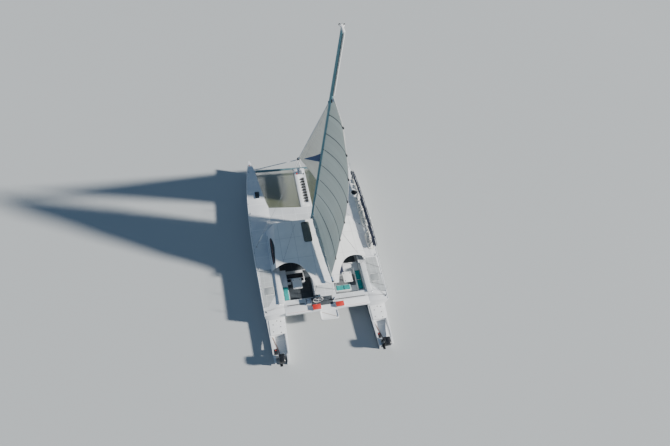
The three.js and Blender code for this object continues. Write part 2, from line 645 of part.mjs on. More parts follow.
// The folds lie over the boom: distance behind the pin, half width, half height
const FOLD_SECTIONS = [
  [180, 110, 80], [420, 240, 150], [1400, 290, 185], [3600, 250, 165], [5600, 170, 125], [6500, 80, 70]];
const FOLDS_Z = BOOM_Z + 60;
const foldsShape = loft(FOLD_SECTIONS.map(([behind, halfX, halfZ]) =>
  boomRing(LUFF_AXIS_Y - behind, halfX, halfZ, FOLDS_Z, 16)));
const boomSeat = loft([boomRing(0, 90 + GAP, 110 + GAP), boomRing(boomEndY - 200, 90 + GAP, 110 + GAP)]);
place('mainsail_folds', raked(swungAboutPin(join([foldsShape], [boomSeat]))), 'sailcloth');

// Mainsail sections: height, chord, angle to starboard in degrees, camber as a share of the chord
const MAIN_SECTIONS = [
  [MAIN_FOOT_Z, 6300, 3.5, 0],
  [5000, 5950, 5.5, 0.03],
  [6000, 5450, 8.5, 0.06],
  [7140, 5030, 11, 0.08],
  [9040, 4650, 14, 0.085],
  [10790, 4070, 17.5, 0.085],
  [12580, 3420, 20, 0.085],
  [14220, 2560, 22, 0.08],
  [16070, 1650, 22, 0.07],
  [MAIN_HEAD_Z, 420, 22, 0.03],
];
const MAIN_CURVE = smoothRows(MAIN_SECTIONS, 3);
const LUFF_EDGE_Y = LUFF_AXIS_Y + 63;
function mainsailPoint(u, v) {
  const z = MAIN_FOOT_Z + v * (MAIN_HEAD_Z - MAIN_FOOT_Z);
  const [, chord, degrees, camber] = lookUp(MAIN_CURVE, z);
  const angle = THREE.MathUtils.degToRad(degrees);
  const belly = 4 * u * (1 - u) * camber * chord;
  return [
    u * chord * Math.sin(angle) + belly * Math.cos(angle) - SAIL_THICKNESS / 2,
    LUFF_EDGE_Y - u * chord * Math.cos(angle) + belly * Math.sin(angle),
    z + 250 * u * Math.min(1, v * 5),
  ];
}
const foldsTop = solidOf(swungAboutPin(join([foldsShape])));
place('mainsail', raked(join([sheet(mainsailPoint, [1, 0, 0], SAIL_THICKNESS, 12, 28)],
  [foldsTop.translate([0, 0, GAP])])), 'sailcloth');

// Jib on its furling foil, turning about the forestay
place('jib_foil', join([rod(onStay(300), onStay(stayLength - 160), FOIL_RADIUS, 12),
  rod(onStay(110), onStay(290), 120, 20), rod(onStay(280), onStay(420), 60, 12)]), 'alloy');
const JIB_TACK = 620;
const JIB_HEAD = stayLength - 700;
const JIB_FOOT_CHORD = 5300;
const JIB_HEAD_CHORD = 150;
const JIB_ROACH = 160;
const JIB_CLEW_RISE = 550;
function jibPoint(u, v) {
  const distance = JIB_TACK + v * (JIB_HEAD - JIB_TACK);
  const [x, y, z] = onStay(distance);
  const chord = JIB_FOOT_CHORD + (JIB_HEAD_CHORD - JIB_FOOT_CHORD) * v - 4 * v * (1 - v) * JIB_ROACH;
  const angle = THREE.MathUtils.degToRad(16 + 10 * v);
  const camber = 0.05 + 0.04 * Math.min(1, 4 * v);
  const belly = 4 * u * (1 - u) * camber * chord;
  return [
    x + u * chord * Math.sin(angle) + belly * Math.cos(angle) - SAIL_THICKNESS / 2,
    y - u * chord * Math.cos(angle) + belly * Math.sin(angle),
    z + JIB_CLEW_RISE * u * u * (1 - v),
  ];
}
const foilCut = rod(onStay(0), onStay(stayLength), FOIL_RADIUS + GAP, 12);
place('jib', join([sheet(jibPoint, [1, 0, 0], SAIL_THICKNESS, 10, 22)], [foilCut]), 'jibcloth');

// Foredeck: crossbeam, striker, spine walk, nets and windlass
const shiftedHulls = [starboardHull.translate([-GAP, 0, 0]), portHull.translate([GAP, 0, 0])];
place('forward_crossbeam', join([rod([-4750, CROSSBEAM_Y, CROSSBEAM_Z], [4750, CROSSBEAM_Y, CROSSBEAM_Z],
  CROSSBEAM_RADIUS, 16)], shiftedHulls), 'alloy');

const crossbeamCut = rod([-5000, CROSSBEAM_Y, CROSSBEAM_Z], [5000, CROSSBEAM_Y, CROSSBEAM_Z],
  CROSSBEAM_RADIUS + GAP, 16);
const strikerHead = onStay(-150);
const strikerParts = [new THREE.SphereGeometry(90, 12, 8).translate(...strikerHead),
  rod(strikerHead, onStay(110 - GAP), 30, 10)];
for (const sign of [-1, 1]) {
  strikerParts.push(rod([sign * 4600, 7230, 1860], strikerHead, 42, 10));
  strikerParts.push(rod([sign * 330, CROSSBEAM_Y, CROSSBEAM_Z], strikerHead, 32, 8));
}
place('striker', join(strikerParts, [...shiftedHulls, crossbeamCut]), 'white');

const SPINE_FRONT_Y = 7100;
const SPINE_CHANNEL = [-170, 320];
const SPINE_BACK_Y = WING_DECK_FRONT_Y - WING_DECK_SWEEP + GAP;
const spineBody = block(-SPINE_HALF_WIDTH, SPINE_HALF_WIDTH, SPINE_BACK_Y, SPINE_FRONT_Y, 1560, SPINE_TOP_Z);
const spineParts = [solidOf(spineBody).subtract(
  solidOf(block(SPINE_CHANNEL[0], SPINE_CHANNEL[1], 2700, 5900, 1610, 2000)))];
const RUNG_PITCH = 340;
for (let y = 2900; y < 5800; y += RUNG_PITCH) {
  spineParts.push(block(SPINE_CHANNEL[0] - 5, SPINE_CHANNEL[1] + 5, y, y + 110, 1730, 1780));
}
place('spine_walk', join(spineParts, [crossbeamCut]), 'white');

for (const [side, sign] of SIDES) {
  const net = block(sign * (SPINE_HALF_WIDTH + GAP), sign * 5000, WING_DECK_FRONT_Y - WING_DECK_SWEEP,
    CROSSBEAM_Y - 60, NET_Z, NET_Z + 12);
  const hull = shiftedHulls[sign > 0 ? 0 : 1];
  const outside = block(sign * 4900, sign * 6000, 0, 9000, 0, 3000);
  place(`net_${side}`, join([net], [hull, outside, crossbeamCut, deckSlab.translate([0, GAP, 0])]), 'net');
}
const drum = rod([-100, 6480, 1960], [180, 6480, 1960], 120, 16);
const windlassBase = block(-160, 240, 6260, 6700, SPINE_TOP_Z + GAP, SPINE_TOP_Z + 110);
const roller = block(-20, 100, 6690, 7080, SPINE_TOP_Z + GAP, SPINE_TOP_Z + 90);
place('windlass', join([windlassBase, drum, roller]), 'steel');

// Lids on the hull decks, each hinged on its own edge
const LID_THICKNESS = 40;
const lidOn = (cx, cy, width, length, corner, z) =>
  slab(cx, cy, width, length, corner, z + GAP, z + LID_THICKNESS);
place('foredeck_hatch', lidOn(...FOREDECK_HATCH, 420, 780, 60, HATCH_RIM_TOP_Z), 'smoked');
place('round_hatch', rod([...ROUND_HATCH, HATCH_RIM_TOP_Z + GAP],
  [...ROUND_HATCH, HATCH_RIM_TOP_Z + LID_THICKNESS], 290, 24), 'black');
for (const [side, sign] of SIDES) {
  place(`deck_hatch_${side}`, lidOn(sign * 4700, -6250, 700, 680, 60, DECK_Z), 'grey');
  place(`stern_lid_${side}`, lidOn(sign * STERN_CENTRE_X, -9160, 1250, 1300, 50, STERN_DECK_Z), 'nonskid');
}

// Cockpit furniture
const SEAT_Z = COCKPIT_FLOOR_Z + 400;
const BENCH_BACK_X = WELL_SIDE_X - 10;
// Bench blocks: inner x, outer x, back y, front y
const BENCHES = {
  port: [[3040, BENCH_BACK_X, -7330, -4300], [1500, 3100, -5280, -4700],
    [1500, 1950, -5600, -5200], [2700, 3100, -5600, -5200]],
  starboard: [[3040, BENCH_BACK_X, -7330, -4300], [1250, 3100, -4820, -4300], [1650, 2160, -5340, -4400]],
};
for (const [side, sign] of SIDES) {
  place(`bench_${side}`, join(BENCHES[side].map(([inner, outer, back, front]) =>
    block(sign * inner, sign * outer, back, front, COCKPIT_FLOOR_Z + GAP, SEAT_Z))), 'gelcoat');
  place(`table_${side}`, join([
    slab(sign * 2250, -5900, 800, 980, 60, 1900, 1940),
    rod([sign * 2250, -5900, COCKPIT_FLOOR_Z + GAP], [sign * 2250, -5900, 1910], 50, 12),
  ]), 'white');
}
const CUSHION = 100;
const pad = (cx, cy, width, length) => slab(cx, cy, width, length, 40, SEAT_Z + GAP, SEAT_Z + CUSHION);
place('cushion_port_black', join([
  pad(-2300, -4990, 1500, 480), pad(-1730, -5160, 360, 820), pad(-2870, -5160, 360, 820)]), 'black');
place('cushion_port_teal', pad(-3290, -6600, 460, 1300), 'teal');
place('cushion_starboard_navy', pad(1905, -4850, 460, 900), 'navy');
place('cushion_starboard_teal', pad(3290, -6150, 460, 1900), 'teal');
// An inner seat beside the centre walk, with its own cushion
place('inner_seat', slab(1730, -6720, 1360, 560, 40, COCKPIT_FLOOR_Z + GAP, SEAT_Z), 'gelcoat');
place('cushion_inner_seat', pad(1730, -6720, 1300, 520), 'teal');

// Helm on the centre walk
const HELM_X = -850;
const WHEEL_Y = -7900;
const WHEEL_Z = 2480;
const PEDESTAL_Y = -7530;
const WHEEL_TILT = THREE.MathUtils.degToRad(3);
const onWheelAxis = (distance) => [
  HELM_X, WHEEL_Y + distance * Math.cos(WHEEL_TILT), WHEEL_Z - distance * Math.sin(WHEEL_TILT)];
place('helm_pedestal', join([
  loft([roundedRing(HELM_X, PEDESTAL_Y, 290, 160, 60, DECK_Z + GAP),
    roundedRing(HELM_X, PEDESTAL_Y - 10, 280, 140, 60, 2250),
    roundedRing(HELM_X, PEDESTAL_Y - 40, 260, 110, 60, 2540)], [0, 1]),
  rod(onWheelAxis(30.5), onWheelAxis(330), 35, 12),
]), 'gelcoat');
const wheelParts = [new THREE.TorusGeometry(420, 20, 6, 24), rod([0, 0, -30], [0, 0, 30], 55, 16)];
for (let k = 0; k < 5; k += 1) {
  const angle = k / 5 * 2 * Math.PI;
  wheelParts.push(rod([0, 0, 0], [415 * Math.cos(angle), 415 * Math.sin(angle), 0], 12, 6));
}
const wheelGeometry = geometryOf(join(wheelParts));
wheelGeometry.rotateX(Math.PI / 2 - WHEEL_TILT).translate(HELM_X, WHEEL_Y, WHEEL_Z);
place('helm_wheel', wheelGeometry, 'white');
place('helm_seat', slab(-1610, -7790, 520, 560, 80, DECK_Z + GAP, DECK_Z + 380), 'navy');

// Boxes with red lids on the aft beam, and the tray behind it
const BOX_Y = -8380;
const BOX_HEIGHT = 220;
for (const [side, sign] of SIDES) {
  const x = sign * 1000;
  place(`cool_box_${side}`, slab(x, BOX_Y, 680, 440, 40, DECK_Z + GAP, DECK_Z + BOX_HEIGHT), 'white');
  place(`cool_box_lid_${side}`, slab(x, BOX_Y, 700, 460, 40, DECK_Z + BOX_HEIGHT + GAP,
    DECK_Z + BOX_HEIGHT + 50), 'red');
}
const TRAY_LENGTH = 860;
const TRAY_TOP_Z = 1780;
const TRAY_Y = AFT_BEAM_BACK_Y - GAP - TRAY_LENGTH / 2;
place('aft_tray', join([slab(0, TRAY_Y, 1560, TRAY_LENGTH, 140, TRAY_TOP_Z - 180, TRAY_TOP_Z)],
  [slab(0, TRAY_Y, 1380, TRAY_LENGTH - 180, 90, TRAY_TOP_Z - 60, TRAY_TOP_Z + 10)]), 'gelcoat');

// Guard rails on both hulls, and the navy sail rolled on the starboard one
const RAIL_HEIGHT = 700;
const RAIL_POST_RADIUS = 14;
const RAIL_POSTS_Y = [6600, 4800, 3000, 1200, -600, -2400, -4200, -6000, -7700];
const railX = (y) => lookUp(HULL_CURVE, y)[1] - 70;
const railDeck = (y) => lookUp(HULL_CURVE, y)[3];
for (const [side, sign] of SIDES) {
  const parts = [];
  const at = (y, height) => [sign * railX(y), y, railDeck(y) + height];
  RAIL_POSTS_Y.forEach((y, k) => {
    parts.push(rod(at(y, -60), at(y, RAIL_HEIGHT), RAIL_POST_RADIUS, 6));
    if (k === 0) return;
    for (const height of [RAIL_HEIGHT - 15, RAIL_HEIGHT * 0.5]) {
      parts.push(rod(at(RAIL_POSTS_Y[k - 1], height), at(y, height), 7, 6));
    }
  });
  const hull = sign > 0 ? starboardHull : portHull;
  place(`rail_${side}`, join(parts, [hull.translate([0, 0, GAP])]), 'steel');
}
// Bunched sail against the inside of the starboard posts: y, share of its full section
const ROLL_HALF_WIDTH = 95;
const ROLL_HALF_HEIGHT = 190;
const ROLL_REST = RAIL_POST_RADIUS - 1;
const ROLL_SECTIONS = [
  [5650, 0.55], [5450, 1], [4800, 1], [4000, 0.86], [3000, 1], [2100, 0.88], [1200, 1], [300, 0.86],
  [-600, 1], [-1500, 0.87], [-2400, 1], [-3250, 0.9], [-3450, 0.5]];
const rollRing = ([y, share]) => boomRing(y, ROLL_HALF_WIDTH, ROLL_HALF_HEIGHT * share, 0, 12).map(
  ([x, ringY, z]) => [
    x + railX(y) - ROLL_REST - ROLL_HALF_WIDTH, ringY,
    z + railDeck(y) + RAIL_HEIGHT - ROLL_HALF_HEIGHT + 20]);
place('sail_roll', loft(ROLL_SECTIONS.map(rollRing)), 'navy');

// Rudders: a stock in each hull and a blade below it
for (const [side, sign] of SIDES) {
  const x = sign * STERN_CENTRE_X;
  const section = (z, front, back, halfWidth) => [
    [x, RUDDER_Y + front, z], [x - halfWidth, RUDDER_Y + front * 0.5, z], [x - halfWidth, RUDDER_Y, z],
    [x, RUDDER_Y - back, z], [x + halfWidth, RUDDER_Y, z], [x + halfWidth, RUDDER_Y + front * 0.5, z]];
  place(`rudder_${side}`, join([
    loft([section(RUDDER_TOP_Z, 130, 340, 36), section(-1150, 90, 230, 24)], [0, 1]),
    rod([x, RUDDER_Y, RUDDER_TOP_Z - 20], [x, RUDDER_Y, 190], RUDDER_STOCK_RADIUS, 24),
  ]), 'gelcoat');
}

// Outboard motors: a bracket on the transom, a tilting swivel, the motor and its propeller
const TILT_Y = TRANSOM_BACK_Y - 190;
const TILT_Z = 1000;
const STEER_Y = TILT_Y - 150;
const PROPELLER_Y = STEER_Y - 300;
const PROPELLER_Z = -330;
const PROPELLER_GAP = 6;
for (const [side, sign] of SIDES) {
  const x = sign * STERN_CENTRE_X;
  const cheek = (from, to) => extrudeAlongX([
    [TRANSOM_BACK_Y - GAP, 250], [TRANSOM_BACK_Y - GAP, 860], [TILT_Y + 40, TILT_Z + 45],
    [TILT_Y - 40, TILT_Z + 45], [TILT_Y - 40, TILT_Z - 60], [TRANSOM_BACK_Y - 90, 250]], x + from, to - from);
  place(`outboard_bracket_${side}`, join([
    cheek(-170, -140), cheek(140, 170),
    rod([x - 150, TILT_Y, TILT_Z], [x + 150, TILT_Y, TILT_Z], 22, 16),
    block(x - 150, x + 150, TRANSOM_BACK_Y - 30, TRANSOM_BACK_Y - GAP, 300, 420),
    block(x - 170, x + 170, TRANSOM_BACK_Y - 30, TRANSOM_BACK_Y + TRANSOM_THICKNESS + 20,
      TRANSOM_TOP_Z + GAP, TRANSOM_TOP_Z + 30),
  ]), 'black');
  const swivel = join([
    rod([x - 132, TILT_Y, TILT_Z], [x + 132, TILT_Y, TILT_Z], 40, 16),
    block(x - 60, x + 60, STEER_Y - 10, TILT_Y, TILT_Z - 40, TILT_Z + 40),
    rod([x, STEER_Y, 560], [x, STEER_Y, TILT_Z + 60], 62, 16),
    block(x - 40, x + 40, STEER_Y, TILT_Y, 620, 960),
  ], [rod([x - 200, TILT_Y, TILT_Z], [x + 200, TILT_Y, TILT_Z], 22.8, 16),
    rod([x, STEER_Y, 400], [x, STEER_Y, 1300], 30.8, 16)]);
  place(`outboard_swivel_${side}`, swivel, 'black');
  const cowlRing = (z, halfX, front, back, corner) =>
    roundedRing(x, STEER_Y + (front - back) / 2, halfX, (front + back) / 2, corner, z);
  const legRing = (z, halfX, front, back) => [
    [x, STEER_Y + front, z], [x - halfX, STEER_Y + front * 0.3, z], [x - halfX, STEER_Y - back * 0.6, z],
    [x, STEER_Y - back, z], [x + halfX, STEER_Y - back * 0.6, z], [x + halfX, STEER_Y + front * 0.3, z]];
  const motor = join([
    loft([cowlRing(1120, 150, 110, 330, 60), cowlRing(1190, 225, 170, 480, 90),
      cowlRing(1500, 240, 200, 520, 110), cowlRing(1640, 215, 170, 470, 110),
      cowlRing(1710, 140, 90, 350, 90)], [0, 1]),
    loft([legRing(520, 55, 110, 240), legRing(-250, 32, 90, 190)], [0, 1]),
    rod([x, STEER_Y, 500], [x, STEER_Y, 1180], 30, 16),
    block(x - 45, x + 45, STEER_Y - 270, STEER_Y - 130, 480, 1180),
    block(x - 110, x + 110, STEER_Y - 360, STEER_Y + 90, 0, 14),
    rod([x, STEER_Y + 190, PROPELLER_Z], [x, PROPELLER_Y + 60, PROPELLER_Z], 30, 12, 58),
    rod([x, PROPELLER_Y + 60, PROPELLER_Z], [x, PROPELLER_Y + 46, PROPELLER_Z], 58, 12),
    rod([x, PROPELLER_Y + 60, PROPELLER_Z], [x, PROPELLER_Y - 30, PROPELLER_Z], 10, 12),
    extrudeAlongX([[STEER_Y + 60, -240], [STEER_Y - 140, -240], [STEER_Y - 60, -560]], x - 9, 18),
  ]);
  place(`outboard_motor_${side}`, motor, 'black');
  const bladeShape = new THREE.Shape();
  bladeShape.moveTo(-30, 0);
  bladeShape.quadraticCurveTo(-95, 130, -20, 185);
  bladeShape.quadraticCurveTo(80, 150, 35, 0);
  bladeShape.closePath();
  const propellerParts = [rod([0, 0, -60], [0, 0, 46 - PROPELLER_GAP], 46, 12)];
  for (let k = 0; k < 3; k += 1) {
    const blade = new THREE.ExtrudeGeometry(bladeShape, { depth: 9, bevelEnabled: false, curveSegments: 4 });
    blade.rotateY(THREE.MathUtils.degToRad(28)).rotateZ(k / 3 * 2 * Math.PI);
    propellerParts.push(blade);
  }
  const propeller = geometryOf(join(propellerParts, [rod([0, 0, -80], [0, 0, 80], 10.8, 12)]));
  propeller.rotateX(-Math.PI / 2).translate(x, PROPELLER_Y, PROPELLER_Z);
  place(`propeller_${side}`, propeller, 'black');
}

scene.updateMatrixWorld();
export default scene;
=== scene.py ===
"""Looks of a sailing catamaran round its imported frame. Metres, +X starboard, +Y forward, +Z up."""

import json
import logging
from contextlib import contextmanager
from dataclasses import dataclass, field
from enum import Enum
from functools import lru_cache, partial
from math import copysign, cos, exp, pi, radians, sin, sqrt
from typing import Callable, ClassVar, Iterator, Sequence

import bmesh
import bpy
from mathutils import Matrix, Vector, noise
from mathutils.bvhtree import BVHTree

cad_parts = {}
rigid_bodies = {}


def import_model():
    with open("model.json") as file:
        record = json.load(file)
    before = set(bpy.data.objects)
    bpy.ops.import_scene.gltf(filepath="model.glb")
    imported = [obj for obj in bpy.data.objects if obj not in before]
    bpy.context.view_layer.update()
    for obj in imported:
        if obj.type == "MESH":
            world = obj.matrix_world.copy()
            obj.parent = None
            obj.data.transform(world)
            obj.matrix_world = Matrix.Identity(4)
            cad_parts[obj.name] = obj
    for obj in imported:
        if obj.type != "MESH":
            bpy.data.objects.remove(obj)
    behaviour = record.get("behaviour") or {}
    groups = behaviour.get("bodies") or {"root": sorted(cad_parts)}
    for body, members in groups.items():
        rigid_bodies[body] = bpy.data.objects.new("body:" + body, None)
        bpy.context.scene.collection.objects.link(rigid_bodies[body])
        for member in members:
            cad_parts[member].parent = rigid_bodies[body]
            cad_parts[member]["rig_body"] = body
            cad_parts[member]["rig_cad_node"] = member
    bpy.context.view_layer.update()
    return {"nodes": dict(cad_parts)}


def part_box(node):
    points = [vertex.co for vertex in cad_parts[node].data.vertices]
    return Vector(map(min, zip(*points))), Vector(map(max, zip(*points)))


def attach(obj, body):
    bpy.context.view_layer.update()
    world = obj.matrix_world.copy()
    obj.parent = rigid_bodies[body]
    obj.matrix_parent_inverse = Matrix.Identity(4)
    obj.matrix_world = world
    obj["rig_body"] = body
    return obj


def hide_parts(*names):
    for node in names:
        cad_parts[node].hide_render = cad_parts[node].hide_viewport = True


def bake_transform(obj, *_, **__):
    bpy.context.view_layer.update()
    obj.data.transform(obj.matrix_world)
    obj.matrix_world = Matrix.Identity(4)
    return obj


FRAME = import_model()

LOG = logging.getLogger("catamaran")
Triple = tuple[float, float, float]
Piece = bpy.types.Object
Rows = tuple[tuple[float, ...], ...]
Profile = Sequence[tuple[float, float]]
SIDES = (("port", -1), ("starboard", 1))

# Sizes that several sub-assemblies share
DECK_Z = 1.9
FLOOR_Z = 1.2
SEAT_Z = 1.6
STERN_X = 4.42
MAST_RAKE = radians(1.2)
HOUNDS_Z = 17.1
MASTHEAD_Z = 22.6
BOOM_Z = 4.05
BOOM_REST = radians(3.5)
LUFF_AXIS_Y = -0.25
CAR_X = 0.44
MAT = 0.012

# Outboard of both hulls, and a length that counts as none
OUTSIDE = 7
TINY = 1e-6


class Way(Enum):
    """The axis that a turned or brushed piece lies along."""

    ACROSS = 0
    ALONG = 1
    UP = 2


# Shader sums and recipes


class Wire:
    """A shader socket whose sums add Math nodes."""

    def __init__(self, recipe: "Recipe", socket: bpy.types.NodeSocket) -> None:
        """Keeps the socket and the recipe that it belongs to."""
        self.recipe, self.socket = recipe, socket

    def sum(self, operation: str, *others: "Wire | float", first: "Wire | float | None" = None) -> "Wire":
        """One Math node.

        Args:
            operation: the node's operation.
            others: the values after the first.
            first: the first value, when it isn't this wire.
        Returns:
            The node's result.
        """
        values = (self if first is None else first, *others)
        return self.recipe.wire(self.recipe.node(
            "ShaderNodeMath", {"operation": operation}, dict(enumerate(values))))

    def __add__(self, other: "Wire | float") -> "Wire":
        """This plus the other."""
        return self.sum("ADD", other)

    __radd__ = __add__

    def __mul__(self, other: "Wire | float") -> "Wire":
        """This times the other."""
        return self.sum("MULTIPLY", other)

    __rmul__ = __mul__

    def __sub__(self, other: "Wire | float") -> "Wire":
        """This less the other."""
        return self.sum("SUBTRACT", other)

    def __rsub__(self, other: float) -> "Wire":
        """The other less this."""
        return self.sum("SUBTRACT", self, first=other)

    def above(self, edge: float) -> "Wire":
        """1 where this is above the edge."""
        return self.sum("GREATER_THAN", edge)

    def below(self, edge: float) -> "Wire":
        """1 where this is below the edge."""
        return self.sum("LESS_THAN", edge)

    def clipped(self) -> "Wire":
        """This, kept from 0 to 1."""
        return self.sum("MAXIMUM", 0.0).sum("MINIMUM", 1.0)

    def eased(self, low: float, high: float) -> "Wire":
        """0 below low, 1 above high and a smooth step between."""
        return self.recipe.wire(self.recipe.node("ShaderNodeMapRange", {"interpolation_type": "SMOOTHSTEP"},
                                                 {0: self, 1: low, 2: high, 3: 0.0, 4: 1.0}))

    def line(self, pitch: float, width: float) -> "Wire":
        """1 on thin lines at every pitch.

        Args:
            pitch: distance between lines.
            width: full width of a line.
        Returns:
            The mask of the lines.
        """
        return self.sum("PINGPONG", pitch / 2).below(width / 2)


class Recipe:
    """The node tree of one material, from a Principled shader outwards."""

    def __init__(self, title: str) -> None:
        """Starts an empty tree with its shader and output."""
        self.material = bpy.data.materials.new(title)
        self.material.use_nodes = True
        self.tree = self.material.node_tree
        self.tree.nodes.clear()
        self.output = self.node("ShaderNodeOutputMaterial")
        self.surface = self.node("ShaderNodeBsdfPrincipled")
        self.tree.links.new(self.surface.outputs[0], self.output.inputs[0])

    def node(self, kind: str, settings: dict | None = None, sockets: dict | None = None) -> bpy.types.Node:
        """Adds a node.

        Args:
            kind: the node's type.
            settings: properties, set before the sockets.
            sockets: values or wires by socket name or number.
        Returns:
            The node.
        """
        made = self.tree.nodes.new(kind)
        for name, value in (settings or {}).items():
            setattr(made, name, value)
        for name, value in (sockets or {}).items():
            if isinstance(value, Wire):
                self.tree.links.new(value.socket, made.inputs[name])
            else:
                made.inputs[name].default_value = value
        return made

    def wire(self, made: bpy.types.Node, output: int | str = 0) -> Wire:
        """A node's output as a wire."""
        return Wire(self, made.outputs[output])

    def where(self, stretch: Triple = (1, 1, 1)) -> Wire:
        """Object coordinates, stretched along each axis."""
        place = self.wire(self.node("ShaderNodeTexCoord"), "Object")
        made = self.node("ShaderNodeVectorMath", {"operation": "MULTIPLY"}, {0: place, 1: stretch})
        return self.wire(made)

    def axes(self, place: Wire | None = None) -> tuple[Wire, Wire, Wire]:
        """The three numbers of a place, the Object coordinates unless another is given."""
        split = self.node("ShaderNodeSeparateXYZ", {}, {0: place or self.where()})
        return self.wire(split, 0), self.wire(split, 1), self.wire(split, 2)

    def woven(self) -> tuple[Wire, Wire]:
        """The piece's own UV map, as two numbers."""
        u, v, _ = self.axes(self.wire(self.node("ShaderNodeUVMap", {"uv_map": "UVMap"})))
        return u, v

    def noise(self, scale: float, stretch: Triple = (1, 1, 1), detail: float = 3) -> Wire:
        """Noise between 0 and 1 over Object coordinates."""
        made = self.node("ShaderNodeTexNoise", {}, {
            "Vector": self.where(stretch), "Scale": scale, "Detail": detail, "Roughness": 0.55})
        return self.wire(made, 0)

    def cells(self, scale: float, stretch: Triple = (1, 1, 1)) -> Wire:
        """Distance to the middle of the nearest cell."""
        made = self.node("ShaderNodeTexVoronoi", {}, {"Vector": self.where(stretch), "Scale": scale})
        return self.wire(made, "Distance")

    def mixed(self, share: Wire | float, first: "Wire | Triple", second: "Wire | Triple") -> Wire:
        """A colour between two colours."""
        full = [c if isinstance(c, Wire) else (*c, 1.0) for c in (first, second)]
        made = self.node("ShaderNodeMix", {"data_type": "RGBA"}, {0: share, 6: full[0], 7: full[1]})
        return self.wire(made, 2)

    def relief(self, height: Wire, depth: float, under: Wire | None = None) -> Wire:
        """A Bump normal of a height in metres, over another normal if given."""
        sockets = {"Height": height, "Distance": depth, "Strength": 1.0}
        if under is not None:
            sockets["Normal"] = under
        return self.wire(self.node("ShaderNodeBump", {}, sockets))

    def facing_up(self) -> Wire:
        """1 on level surfaces, from the surface's own normal."""
        return self.axes(self.wire(self.node("ShaderNodeNewGeometry"), "Normal"))[2].eased(0.75, 0.95)

    def set(self, sockets: dict) -> None:
        """Sets or links sockets of the shader."""
        for name, value in sockets.items():
            if isinstance(value, Wire):
                self.tree.links.new(value.socket, self.surface.inputs[name])
            else:
                self.surface.inputs[name].default_value = value

    def shining_through(self, share: float, colour: Triple) -> None:
        """Lets a constant share of light through a thin sheet."""
        thin = self.node("ShaderNodeBsdfTranslucent", {}, {"Color": (*colour, 1.0)})
        both = self.node("ShaderNodeMixShader", {}, {
            0: share, 1: self.wire(self.surface), 2: self.wire(thin)})
        self.tree.links.new(both.outputs[0], self.output.inputs[0])


# Finishes


@dataclass(frozen=True)
class Finish:
    """A colour with cloudy variation: the start of every finish."""

    title: str
    slot: str
    colour: Triple
    rough: float = 0.5
    uneven: float = 0.08

    def shade(self, share: float) -> Triple:
        """The colour, brought a share towards black."""
        return tuple(c * (1 - share) for c in self.colour)

    def mottled(self, recipe: Recipe, scale: float = 0.6) -> Wire:
        """The colour with soft patches, broad and fine."""
        cloud = recipe.noise(scale, detail=5) * 0.7 + recipe.noise(scale * 14) * 0.3
        return recipe.mixed(cloud.eased(0.3, 0.7), self.shade(self.uneven), self.colour)

    def paint(self, recipe: Recipe) -> None:
        """Puts the finish into the recipe."""
        raise NotImplementedError


@dataclass(frozen=True)
class Gelcoat(Finish):
    """Moulded glossy skin, with non-skid panels on level decks and bottom paint under the waterline."""

    decked: bool = False
    rough: float = 0.28
    uneven: float = 0.05
    deck_above: float = 0.4
    panel_pitch: float = 1.45
    deck_tones: tuple[Triple, Triple] = ((0.56, 0.58, 0.6), (0.7, 0.71, 0.71))
    # top edge and colour of the boot stripe, and then of the bottom paint
    under_water: tuple[tuple[float, Triple], ...] = ((0.1, (0.04, 0.07, 0.13)), (0.05, (0.045, 0.05, 0.06)))

    def paint(self, recipe: Recipe) -> None:
        """Waxy gloss, rain streaks down the sides, grit on the decks and dark bottom paint."""
        streaks = recipe.noise(2.2, (1.6, 1.6, 0.12)).eased(0.55, 0.8) * 0.35
        colour = recipe.mixed(streaks, self.mottled(recipe), self.shade(0.22))
        peel = recipe.relief(recipe.noise(60, detail=1), 0.0006)
        rough = recipe.noise(1.4) * 0.12 + self.rough
        if self.decked:
            _, y, z = recipe.axes()
            panels = (1 - y.line(self.panel_pitch, 0.05)) * recipe.facing_up() * z.above(self.deck_above)
            worn = recipe.noise(0.9, detail=6).eased(0.35, 0.75)
            colour = recipe.mixed(panels * 0.75, colour, recipe.mixed(worn, *self.deck_tones))
            rough = rough + panels * 0.4
            peel = recipe.relief(recipe.cells(240) * panels, 0.0012, peel)
            for top, tone in self.under_water:
                colour = recipe.mixed(z.below(top), colour, tone)
        recipe.set({"Base Color": colour, "Roughness": rough.clipped(), "Normal": peel,
                    "Coat Weight": 0.35, "Coat Roughness": 0.12})


@dataclass(frozen=True)
class DeckPaint(Finish):
    """Non-skid deck paint in panels with smooth gutters."""

    pitch: tuple[float, float] = (1.22, 1.4)
    rough: float = 0.75

    def paint(self, recipe: Recipe) -> None:
        """Grit between narrow smooth gutters, scuffed where people walk."""
        x, y, _ = recipe.axes()
        gutter = (x.line(self.pitch[0], 0.035) + y.line(self.pitch[1], 0.035)).clipped()
        scuffed = recipe.noise(1.1, detail=7).eased(0.45, 0.7)
        base = recipe.mixed(scuffed * 0.5, self.mottled(recipe), self.shade(0.2))
        grit = recipe.cells(230) * (1 - gutter)
        pale = tuple(min(0.88, c * 1.3 + 0.01) for c in self.colour)
        recipe.set({"Base Color": recipe.mixed(gutter * 0.6, base, pale),
                    "Roughness": (self.rough - gutter * 0.35), "Normal": recipe.relief(grit, 0.0013)})


